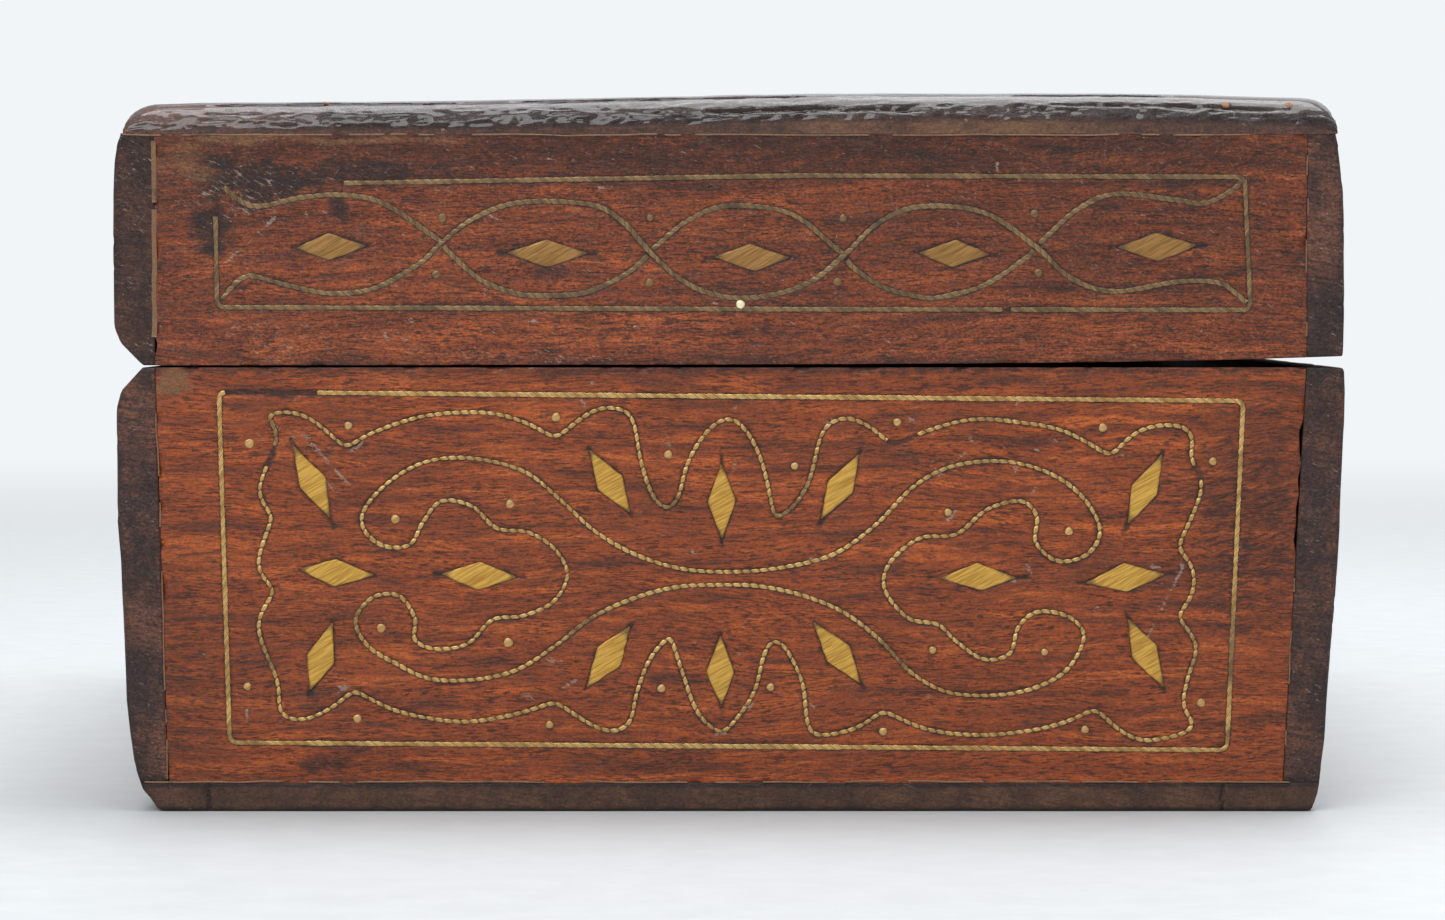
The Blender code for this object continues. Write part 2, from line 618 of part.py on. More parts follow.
def make_hinges(base_back, lid_back):
    """Returns the hinge pieces that turn with the lid."""
    moving = []
    for place, centre in HINGE_CENTRES.items():
        make_pin(f"hinge_{place}_pin", centre)
        for level, side, board in (("lower", -1, base_back), ("upper", 1, lid_back)):
            name = f"hinge_{place}_{level}"
            pieces = [make_leaf(f"{name}_leaf", centre, side)]
            cut_hinge_seat(board, name, centre, side)
            for number, (y, z) in enumerate(screw_places(centre, side), 1):
                pieces.append(make_screw(f"{name}_screw_{number}", y, z))
            if side > 0:
                moving += pieces
    return moving


def hang_on_axis(pieces):
    """Parents the lid's pieces to an empty on the hinge axis, without moving them."""
    axis = bpy.data.objects.new("lid_hinge_axis", None)
    axis.location = (HINGE_X * MM, 0.0, RIM_Z * MM)
    bpy.context.scene.collection.objects.link(axis)
    for piece in pieces:
        piece.parent = axis
        piece.matrix_parent_inverse = Matrix.Translation(axis.location).inverted()


def main():
    for old in list(bpy.data.objects):
        bpy.data.objects.remove(old, do_unlink=True)
    base_back = make_base()
    lid_back, lid_pieces = make_lid()
    hinge_pieces = make_hinges(base_back, lid_back)
    hang_on_axis(lid_pieces + hinge_pieces)


main()
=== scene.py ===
"""The looks of the inlaid wooden box: worn rosewood boards, twisted brass wire, brass lozenges and dots.

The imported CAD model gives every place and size. Sizes here are in millimetres and are scaled to metres where a mesh
is made. X runs from the hinged back to the opening front, Y from the near end to the far end, Z up."""

import json
import math
from functools import partialmethod
from types import SimpleNamespace

import bpy
import numpy as np
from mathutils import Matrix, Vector
from mathutils.kdtree import KDTree


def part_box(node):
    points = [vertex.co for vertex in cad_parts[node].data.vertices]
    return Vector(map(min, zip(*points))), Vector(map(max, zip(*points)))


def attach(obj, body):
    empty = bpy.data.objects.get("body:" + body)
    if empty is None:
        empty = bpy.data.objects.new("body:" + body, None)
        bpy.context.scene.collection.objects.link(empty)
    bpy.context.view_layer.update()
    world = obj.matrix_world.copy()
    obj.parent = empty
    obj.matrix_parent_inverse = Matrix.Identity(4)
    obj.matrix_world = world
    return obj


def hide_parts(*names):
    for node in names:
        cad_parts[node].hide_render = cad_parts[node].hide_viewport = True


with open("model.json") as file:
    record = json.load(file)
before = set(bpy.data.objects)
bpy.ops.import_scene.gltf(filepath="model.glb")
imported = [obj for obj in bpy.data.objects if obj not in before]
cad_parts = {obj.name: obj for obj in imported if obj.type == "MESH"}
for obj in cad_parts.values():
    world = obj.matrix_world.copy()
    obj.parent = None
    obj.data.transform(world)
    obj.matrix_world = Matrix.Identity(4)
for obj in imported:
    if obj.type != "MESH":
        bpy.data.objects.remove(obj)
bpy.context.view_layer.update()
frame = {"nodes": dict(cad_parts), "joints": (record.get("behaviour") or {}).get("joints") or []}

MM = 0.001


# Sizes, from the frame.

def box_of(node):
    """The lowest and highest corners of a CAD node, in millimetres."""
    return tuple(np.array(corner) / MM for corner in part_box(node))


def side_at(node, z, side):
    """The least (side -1) or greatest (side 1) x of a CAD node's points within 1 mm of this height."""
    points = np.array([vertex.co for vertex in frame["nodes"][node].data.vertices]) / MM
    level = points[np.abs(points[:, 2] - z) < 1.0]
    return float(side * (side * level[:, 0]).max())


PANEL_LOW, PANEL_HIGH = box_of("base_near_end_panel")
LID_PANEL_LOW, LID_PANEL_HIGH = box_of("lid_near_end_panel")

NEAR_Y = float(PANEL_LOW[1])
FAR_Y = -NEAR_Y
HALF_WIDTH = float(box_of("base_front_board")[1][0])
END_THICKNESS = float(PANEL_HIGH[1] - PANEL_LOW[1])
BASE_RIM = float(PANEL_HIGH[2])
WALL_FOOT = float(PANEL_LOW[2])
LID_RIM = float(LID_PANEL_LOW[2])
WALL_TOP = float(LID_PANEL_HIGH[2])
TOP_UNDERSIDE = float(box_of("lid_top_board")[0][2])
BOTTOM_TOP = float(box_of("bottom_board")[1][2])
CAD_SEAM = 0.3  # the gap between pieces in the CAD model
SEAM_LEFT = 0.04  # what is left of a seam here: the wood nearly meets
SEAM = CAD_SEAM - SEAM_LEFT
BOARD_OVERLAP = 0.18  # how far the top and bottom boards reach into their seams
INNER_RIM_X = float(PANEL_HIGH[0])  # the panel's half width at the rim
INNER_FOOT = (side_at("base_near_end_panel", WALL_FOOT, -1), side_at("base_near_end_panel", WALL_FOOT, 1))
LID_JOINT = next(joint for joint in frame["joints"] if joint["name"] == "lid_hinge")
HINGE_X = LID_JOINT["pos_m"][0] / MM
HINGE_Z = LID_JOINT["pos_m"][2] / MM
HINGE_YS = [float(sum(corner[1] for corner in box_of(f"hinge_{place}_pin"))) / 2 for place in ("near", "far")]


# Inlay of the near end, as (x, z) points.

PLATE_WIDTH = 4.1
DOT_RADIUS = 0.62

BASE_BORDER = [(-74.4, 61.1), (74.5, 59.8), (72.3, 8.9), (-73.0, 10.0)]
LID_BORDER = [(-56.2, 91.4), (10.0, 92.5), (74.6, 92.3), (75.5, 73.0), (10.0, 73.1), (-74.6, 73.4), (-74.8, 87.0)]

# The cusped frame, one list for each lobe. Neighbouring lobes share the point of the cusp between them.
FRAME_LOBES = [
    [(-67.5, 57.7), (-64.5, 58.2), (-60.8, 57.0), (-56.0, 52.9)],
    [(-56.0, 52.9), (-52.0, 55.2), (-44.5, 57.6), (-35.8, 58.1), (-30.0, 56.7), (-25.5, 54.3)],
    [(-25.5, 54.3), (-20.1, 58.3), (-16.5, 58.7), (-14.3, 57.2), (-12.9, 50.3), (-11.1, 45.5), (-9.1, 43.9)],
    [(-9.1, 43.9), (-7.6, 45.8), (-6.3, 50.7), (-3.6, 55.2), (-0.4, 57.3), (2.3, 55.4), (4.6, 50.7), (6.4, 42.6)],
    [(6.4, 42.6), (8.9, 44.2), (11.4, 48.1), (13.4, 55.4), (16.6, 57.3), (20.1, 56.1), (23.6, 53.2)],
    [(23.6, 53.2), (28.4, 55.4), (35.1, 57.1), (41.8, 56.7), (48.5, 55.4), (55.3, 51.7)],
    [(55.3, 51.7), (58.5, 54.9), (62.0, 56.2), (65.9, 56.0), (67.2, 54.3), (66.9, 51.5), (68.5, 47.0), (65.0, 38.4)],
    [(65.0, 38.4), (67.2, 35.5), (67.2, 31.8), (65.0, 28.4)],
    [(65.0, 28.4), (67.8, 24.2), (66.6, 19.6), (65.9, 15.4), (67.3, 12.1), (61.2, 10.3), (57.3, 11.4), (53.1, 15.0)],
    [(53.1, 15.0), (48.5, 12.9), (42.6, 11.6), (35.5, 11.1), (28.4, 12.0), (22.2, 14.7)],
    [(22.2, 14.7), (18.0, 12.0), (12.3, 11.1), (11.1, 13.4), (10.4, 18.9), (7.8, 24.1), (5.9, 25.0)],
    [(5.9, 25.0), (4.7, 22.5), (3.4, 17.3), (0.1, 12.6), (-1.7, 11.5), (-4.9, 14.5), (-7.0, 20.2), (-8.8, 25.7)],
    [(-8.8, 25.7), (-11.7, 22.4), (-13.7, 17.3), (-14.9, 12.6), (-18.8, 11.9), (-25.6, 16.0)],
    [(-25.6, 16.0), (-30.4, 14.4), (-36.4, 13.2), (-41.6, 13.2), (-48.9, 14.7), (-54.9, 17.7)],
    [(-54.9, 17.7), (-58.0, 15.2), (-62.0, 13.4), (-65.5, 14.2), (-66.0, 18.9), (-68.8, 26.9), (-66.3, 32.2)],
    [(-66.3, 32.2), (-68.8, 36.0), (-66.6, 43.0)],
    [(-66.6, 43.0), (-68.6, 46.9), (-66.0, 54.3), (-67.5, 57.7)],
]

# The closed scroll inside it: clockwise from the middle of its upper line, with a curl near each corner.
SCROLL = [
    (0.2, 34.9), (-7.3, 35.4), (-14.0, 37.5), (-19.7, 40.8), (-24.9, 45.5), (-30.0, 49.5), (-37.3, 51.4),
    (-44.1, 51.0), (-49.6, 48.1), (-53.3, 44.0), (-53.3, 41.0), (-50.5, 38.7), (-46.7, 38.9), (-44.7, 42.3),
    (-42.1, 45.2), (-37.7, 44.5), (-34.1, 41.3), (-29.3, 40.6), (-25.5, 38.1), (-23.8, 34.4), (-25.9, 30.5),
    (-30.3, 28.5), (-34.7, 27.9), (-38.4, 24.4), (-43.2, 23.7), (-46.0, 25.1), (-46.0, 28.2), (-48.3, 31.4),
    (-52.1, 31.2), (-54.6, 27.9), (-52.8, 24.1), (-48.5, 21.4), (-43.7, 19.3), (-37.3, 19.2), (-31.2, 20.6),
    (-25.6, 24.1), (-20.1, 28.3), (-14.0, 31.1), (-7.8, 32.7), (-1.4, 33.0), (4.3, 32.8), (10.7, 31.4),
    (16.6, 28.9), (21.7, 25.0), (26.2, 20.3), (31.5, 17.4), (38.1, 16.9), (44.0, 17.9), (48.9, 20.6),
    (51.4, 25.4), (49.3, 28.3), (44.8, 29.1), (41.9, 26.9), (40.6, 23.0), (36.8, 22.2), (32.8, 24.8),
    (30.2, 27.2), (25.8, 28.2), (22.4, 32.4), (23.2, 36.3), (27.5, 39.8), (32.8, 40.4), (37.3, 44.0),
    (42.2, 45.2), (44.5, 43.0), (44.4, 39.2), (47.6, 36.5), (51.9, 37.5), (53.7, 41.1), (51.1, 45.9),
    (46.1, 49.4), (39.5, 51.0), (32.3, 50.3), (26.7, 47.4), (21.0, 41.7), (15.0, 37.5), (7.8, 35.6),
]

# The lid's two crossing waves. The second wire is cut where the first passes over it.
LID_WAVE = [
    (-73.9, 74.5), (-72.6, 76.2), (-71.0, 77.6), (-69.2, 77.9),
    (-64.4, 76.6), (-58.0, 75.4), (-51.7, 76.2), (-45.3, 79.7),
    (-42.1, 82.7), (-37.3, 86.3), (-30.6, 88.6), (-20.4, 88.3), (-15.6, 85.7), (-11.7, 81.4), (-6.9, 77.2),
    (-1.4, 75.0), (5.0, 75.0), (11.4, 77.0), (16.6, 81.1), (21.4, 85.6), (27.5, 88.0), (36.8, 87.1),
    (44.4, 82.1), (49.3, 77.7), (55.6, 75.7), (64.9, 77.1), (70.7, 77.0), (73.0, 75.7), (74.9, 74.1),
]
LID_CROSS_WAVES = [
    [(-73.6, 90.9), (-72.2, 89.6), (-70.4, 88.4), (-67.8, 88.1), (-62.4, 89.3), (-56.5, 89.7), (-50.5, 88.5),
     (-43.3, 83.8), (-42.3, 82.95)],
    [(-41.8, 82.35), (-40.9, 81.4), (-36.5, 77.5), (-31.2, 75.4), (-26.2, 75.1), (-20.9, 75.6), (-15.6, 78.0),
     (-13.1, 79.9), (-12.1, 80.95)],
    [(-11.4, 81.75), (-10.2, 82.8), (-6.5, 85.8), (-0.5, 88.1), (8.6, 87.0), (15.1, 82.1), (16.2, 81.2)],
    [(16.9, 80.3), (18.0, 79.0), (22.2, 76.3), (27.5, 74.9), (30.6, 74.9), (36.8, 76.6), (42.8, 80.5), (44.0, 81.7)],
    [(44.8, 82.6), (46.0, 83.8), (50.2, 87.5), (55.6, 89.8), (64.4, 89.0), (68.8, 88.5), (72.8, 90.4), (74.2, 91.9)],
]

# Lozenge plates: centre x, centre z, angle in degrees from +X, and length.
BASE_PLATES = [
    (-60.9, 48.0, -64, 12.0), (-17.6, 48.0, -58, 11.2), (-1.3, 45.1, -90, 11.2), (15.9, 47.2, 61, 11.5),
    (60.2, 46.9, 64, 11.5), (-57.4, 34.8, -4, 11.0), (-36.5, 34.4, -2, 11.3), (36.0, 34.1, 0, 11.6),
    (57.5, 34.0, 6, 11.8), (-59.6, 22.4, 72, 10.8), (-17.9, 22.4, 54, 11.1), (-1.4, 20.6, -89, 10.6),
    (15.6, 23.0, -53, 11.7), (60.4, 23.1, -63, 11.5),
]
LID_PLATES = [
    (-58.1, 82.2, 1, 10.7), (-26.7, 81.3, -1, 12.0), (3.1, 80.6, 0, 11.5), (32.5, 81.2, -2, 11.1),
    (62.0, 82.2, 1, 12.0),
]

BASE_DOTS = [
    (-70.0, 53.6), (-55.6, 56.2), (-48.8, 42.6), (-32.1, 44.8), (-25.4, 57.4), (-9.1, 52.0), (9.3, 50.3),
    (24.2, 56.7), (31.6, 43.6), (54.1, 55.9), (49.2, 40.8), (70.1, 51.0), (-70.4, 18.2), (-54.4, 13.5),
    (-50.9, 26.7), (-32.4, 24.6), (-26.4, 12.6), (-10.1, 17.9), (5.8, 18.1), (22.2, 11.6), (29.4, 23.5),
    (45.7, 23.2), (51.6, 11.9), (68.5, 15.8),
]
LID_DOTS = [
    (-41.9, 86.4), (-42.8, 78.2), (-11.7, 86.4), (-11.8, 76.9), (16.3, 86.3), (15.5, 77.1), (44.1, 87.0),
    (44.7, 78.4),
]
PATTERN_CENTRES = {"base": (0.0, 34.8), "lid": (0.0, 82.4)}


# Noise.

def hashed(cells, seed):
    """A repeatable number from 0 to 1 for each integer cell."""
    cells = cells.astype(np.int64)
    mixed = cells[..., 0] * 73856093 ^ cells[..., 1] * 19349663 ^ cells[..., 2] * 83492791 ^ seed * 2654435761
    mixed = (mixed ^ (mixed >> 13)) * 1274126177
    return ((mixed ^ (mixed >> 16)) & 0xFFFFFF) / float(0xFFFFFF)


def noise(points, scale, seed=0):
    """Smooth value noise from -1 to 1. scale is the size of its cells in millimetres, one or three numbers."""
    places = points / np.array(scale, float)
    cells = np.floor(places)
    part = places - cells
    part = part * part * (3 - 2 * part)
    total = np.zeros(len(points))
    for corner in np.ndindex(2, 2, 2):
        weight = np.prod(np.where(corner, part, 1 - part), axis=1)
        total += weight * hashed(cells + np.array(corner), seed)
    return total * 2 - 1


def rough_noise(points, scale, seed=0, octaves=3):
    """Noise with finer noise on top."""
    total = np.zeros(len(points))
    for octave in range(octaves):
        total += noise(points, np.array(scale, float) / 2 ** octave, seed + octave) / 2 ** octave
    return total / 1.75


def step_between(low, high, values):
    """0 below low, 1 above high, smooth between."""
    share = np.clip((values - low) / (high - low), 0, 1)
    return share * share * (3 - 2 * share)


def spread(points):
    """(x, z) points as XYZ, for noise."""
    return np.column_stack([points[:, 0], np.zeros(len(points)), points[:, 1]])


# Paths.

def smooth_path(points, closed=False, spacing=0.25):
    """A smooth (Catmull-Rom) curve through these points."""
    points = np.array(points, float)
    count = len(points)
    path = []
    for i in range(count if closed else count - 1):
        if closed:
            before, start, end, after = (points[(i + k) % count] for k in (-1, 0, 1, 2))
        else:
            before, start, end, after = (points[min(max(i + k, 0), count - 1)] for k in (-1, 0, 1, 2))
        steps = max(2, int(np.linalg.norm(end - start) / spacing))
        t = np.arange(steps)[:, None] / steps
        path.append(0.5 * (2 * start + (end - before) * t + (2 * before - 5 * start + 4 * end - after) * t ** 2
                           + (3 * start - before - 3 * end + after) * t ** 3))
    path.append(points[:1] if closed else points[-1:])
    return np.concatenate(path)


def corner_path(points, closed, radius=1.2):
    """Straight runs between these points, with rounded corners."""
    points = np.array(points, float)
    count = len(points)
    path = []
    for i in range(count):
        if not closed and i in (0, count - 1):
            path.append(points[i:i + 1])
            continue
        before = points[i - 1] - points[i]
        after = points[(i + 1) % count] - points[i]
        start = points[i] + before / np.linalg.norm(before) * radius
        end = points[i] + after / np.linalg.norm(after) * radius
        t = np.linspace(0, 1, 6)[:, None]
        path.append((1 - t) ** 2 * start + 2 * t * (1 - t) * points[i] + t ** 2 * end)
    if closed:
        path.append(path[0][:1])
    return np.concatenate(path)


def joined_lobes(lobes, softness=5):
    """The closed frame, with its cusps rounded as wire bends."""
    path = evenly(np.concatenate([smooth_path(lobe) for lobe in lobes]), 0.2)[:-1]
    for _ in range(2):
        path = np.mean([np.roll(path, shift, 0) for shift in range(-softness, softness + 1)], axis=0)
    return np.concatenate([path, path[:1]])


def evenly(path, spacing):
    """The path again, with points this far apart along it."""
    lengths = np.linalg.norm(np.diff(path, axis=0), axis=1)
    along = np.concatenate([[0], np.cumsum(lengths)])
    count = max(4, int(round(along[-1] / spacing)))
    wanted = np.linspace(0, along[-1], count + 1)
    return np.column_stack([np.interp(wanted, along, path[:, k]) for k in range(2)])


def hand_drawn(path, amount, seed):
    """The path with the small wobbles of handwork."""
    points = spread(path)
    return path + amount * np.column_stack([noise(points, 4.0, seed), noise(points, 4.0, seed + 7)])


# Meshes.

def make_piece(name, points, faces, attributes=None, flat=()):
    """A smooth mesh object from points in millimetres and a list of face arrays, each of one corner count.
    flat gives the numbers of the arrays whose faces stay flat."""
    groups = [np.asarray(group, np.int32) for group in faces if len(group)]
    mesh = bpy.data.meshes.new(name)
    mesh.vertices.add(len(points))
    mesh.vertices.foreach_set("co", (points * MM).astype(np.float32).ravel())
    corners = np.concatenate([group.ravel() for group in groups])
    counts = np.concatenate([np.full(len(group), group.shape[1]) for group in groups])
    mesh.loops.add(len(corners))
    mesh.loops.foreach_set("vertex_index", corners)
    mesh.polygons.add(len(counts))
    mesh.polygons.foreach_set("loop_start", np.concatenate([[0], np.cumsum(counts)[:-1]]).astype(np.int32))
    smooth = np.concatenate([np.full(len(group), i not in flat) for i, group in enumerate(groups)])
    mesh.polygons.foreach_set("use_smooth", smooth)
    mesh.update(calc_edges=True)
    for key, values in (attributes or {}).items():
        layer = mesh.attributes.new(key, "FLOAT", "POINT")
        layer.data.foreach_set("value", np.asarray(values, np.float32))
    piece = bpy.data.objects.new(name, mesh)
    bpy.context.scene.collection.objects.link(piece)
    return piece


def normals_of(points, faces):
    """Unit normals at the points, from the faces round them."""
    total = np.zeros_like(points)
    for group in faces:
        first, second, last = points[group[:, 0]], points[group[:, 1]], points[group[:, -1]]
        face_normals = np.cross(second - first, last - first)
        for k in range(group.shape[1]):
            np.add.at(total, group[:, k], face_normals)
    return total / np.maximum(np.linalg.norm(total, axis=1, keepdims=True), 1e-12)


def block(xs, ys, zs):
    """The surface of a box as a grid with lines at xs, ys and zs: its points and quads."""
    lines = [np.asarray(xs, float), np.asarray(ys, float), np.asarray(zs, float)]
    counts = [len(line) for line in lines]
    ids = np.arange(np.prod(counts)).reshape(counts)
    quads = []
    for axis in range(3):
        for end in (0, -1):
            sheet = np.take(ids, end, axis=axis)
            side = np.stack([sheet[:-1, :-1], sheet[1:, :-1], sheet[1:, 1:], sheet[:-1, 1:]], -1).reshape(-1, 4)
            quads.append(side if (end == -1) != (axis == 1) else side[:, ::-1])
    quads = np.concatenate(quads)
    used, flat = np.unique(quads, return_inverse=True)
    at = np.unravel_index(used, counts)
    return np.column_stack([line[index] for line, index in zip(lines, at)]), flat.reshape(quads.shape)


def round_edges(points, low, high, radius):
    """Rounds a box's edges. radius is a number or one for each point."""
    low, high = np.array(low, float), np.array(high, float)
    radius = np.broadcast_to(np.asarray(radius, float), len(points))[:, None]
    core = np.clip(points, low + radius, high - radius)
    out = points - core
    length = np.linalg.norm(out, axis=1, keepdims=True)
    return np.where(length > 1e-9, core + out / np.maximum(length, 1e-9) * radius, points)


def plank(columns, rows, rings):
    """A closed board in unit coordinates: a fine grid for its face, rings down its sides and a fan for its back.

    rings are (outset, depth) pairs: outset is how far a ring is beyond the face, and depth how far below it.
    Returns a, b, outset_a, outset_b and depth for each point, and the faces."""
    grid_a, grid_b = np.meshgrid(columns, rows, indexing="ij")
    index = np.arange(grid_a.size).reshape(grid_a.shape)
    quads = [np.stack([index[:-1, :-1], index[1:, :-1], index[1:, 1:], index[:-1, 1:]], -1).reshape(-1, 4)]
    border = np.concatenate([index[:, 0], index[-1, 1:], index[-2::-1, -1], index[0, -2:0:-1]])
    border_a, border_b = grid_a.ravel()[border], grid_b.ravel()[border]
    out_a = np.where(border_a == columns[-1], 1.0, 0.0) - np.where(border_a == columns[0], 1.0, 0.0)
    out_b = np.where(border_b == rows[-1], 1.0, 0.0) - np.where(border_b == rows[0], 1.0, 0.0)
    flat = np.zeros(grid_a.size)
    table = [np.column_stack([grid_a.ravel(), grid_b.ravel(), flat, flat, flat])]
    previous, total = border, grid_a.size
    for outset, depth in rings:
        table.append(np.column_stack([border_a, border_b, out_a * outset, out_b * outset,
                                      np.full(len(border), depth)]))
        ring = np.arange(total, total + len(border))
        total += len(border)
        quads.append(np.column_stack([previous, ring, np.roll(ring, -1), np.roll(previous, -1)]))
        previous = ring
    middle = table[-1].mean(axis=0)
    middle[2:4] = 0.0
    table.append(middle[None, :])
    fan = np.column_stack([previous, np.full(len(previous), total), np.roll(previous, -1)])
    return np.concatenate(table).T, [np.concatenate(quads), fan]


def edge_rings(radius, thickness, walls, back_radius=0.3):
    """The rings of a plank: its rounded edge, its sides and the start of its back."""
    rings = [(radius * math.sin(turn), radius * (1 - math.cos(turn))) for turn in np.radians([22, 45, 67, 90])]
    depths = np.linspace(radius, thickness - back_radius, walls + 1)[1:]
    rings += [(radius, depth) for depth in depths]
    rings.append((radius - back_radius, thickness))
    return rings


# The outlines of the worn box, seen from its near end, as z and x.

BASE_BACK_OUTLINE = (
    [0.0, 0.4, 1.6, 3.1, 4.5, 7.4, 10.3, 16.1, 25.0, 36.5, 42.3, 57.0, 60.9, 61.4, 64.65],
    [-83.2, -83.6, -84.3, -85.4, -85.8, -86.7, -87.1, -87.7, -88.0, -88.4, -88.9, -89.0, -88.9, -88.7, -85.7],
)
BASE_FRONT_OUTLINE = (
    [0.0, 0.4, 1.6, 4.5, 10.3, 16.1, 25.0, 31.0, 42.0, 57.0, 61.0, 64.65],
    [84.5, 84.8, 85.2, 85.5, 86.2, 86.5, 87.2, 87.7, 88.3, 88.9, 89.0, 88.9],
)
LID_BACK_OUTLINE = (
    [64.95, 68.1, 68.7, 70.0, 84.0, 90.0, 94.7, 97.1, 98.5],
    [-85.7, -88.8, -89.1, -89.3, -89.4, -89.3, -89.1, -88.7, -88.2],
)
LID_FRONT_OUTLINE = (
    [65.9, 68.0, 75.7, 84.4, 90.2, 94.7, 97.0, 98.5],
    [88.6, 88.7, 88.8, 88.7, 88.6, 88.1, 87.8, 87.4],
)
TOP_OUTLINE = (
    [-88.4, -84.0, -77.0, -62.0, -33.0, -19.0, -4.0, 10.0, 54.0, 68.0, 83.0, 88.0],
    [102.6, 103.0, 103.2, 103.3, 103.6, 103.9, 104.2, 104.5, 104.6, 104.4, 103.9, 103.4],
)

LID_SLOPE = 0.25  # the warped lid's rim rises evenly by this much from the hinge to its front edge
LID_CURL = 1.1  # and curls up by this much more near that edge
OUTLINE_SWELL = 0.35  # added to the outlines, because the rounded ends stand back from them
CHAMFER_GAP = 0.2  # the back boards' chamfers stand back by this, so that they only just meet when the lid is open


def lid_rim(x):
    along = np.clip((x - HINGE_X) / (HALF_WIDTH - HINGE_X), 0, None)
    return LID_RIM + LID_SLOPE * along + LID_CURL * along ** 6


def outline(table, z):
    return np.interp(z, *table)


def clear_of_hinge(side, z):
    """0 on the chamfers beside the hinge's axis and 1 everywhere else."""
    return step_between(3.4, 6.4, np.abs(z - HINGE_Z)) if side < 0 else np.ones(len(z))


def outer_face(table, side, z):
    """The x of the outer face of a long wall."""
    clear = clear_of_hinge(side, z)
    return outline(table, z) + side * (OUTLINE_SWELL * clear - CHAMFER_GAP * (1 - clear))


def wall_inside(side, z):
    """The x of the inner face of the back (-1) or front (1) wall of the base, which leans in towards its foot."""
    foot = abs(INNER_FOOT[0 if side < 0 else 1]) + CAD_SEAM
    rim = INNER_RIM_X + CAD_SEAM
    return side * (foot + (rim - foot) * np.clip((z - WALL_FOOT) / (BASE_RIM - WALL_FOOT), 0, 1))


# Inlay layouts. A face has its own flat (u, w) frame in millimetres: u to the right and w up, as it is looked at.

def nearest(points, samples):
    """Each 2-D point's distance to the nearest of the samples."""
    tree = KDTree(len(samples))
    for i, (u, w) in enumerate(samples):
        tree.insert((u, w, 0.0), i)
    tree.balance()
    return np.array([tree.find((u, w, 0.0))[2] for u, w in points])


def stretched(path, scale, offset=(0.0, 0.0), centre=(0.0, 0.0)):
    return (np.asarray(path, float)[:, :2] - centre) * scale + centre + offset


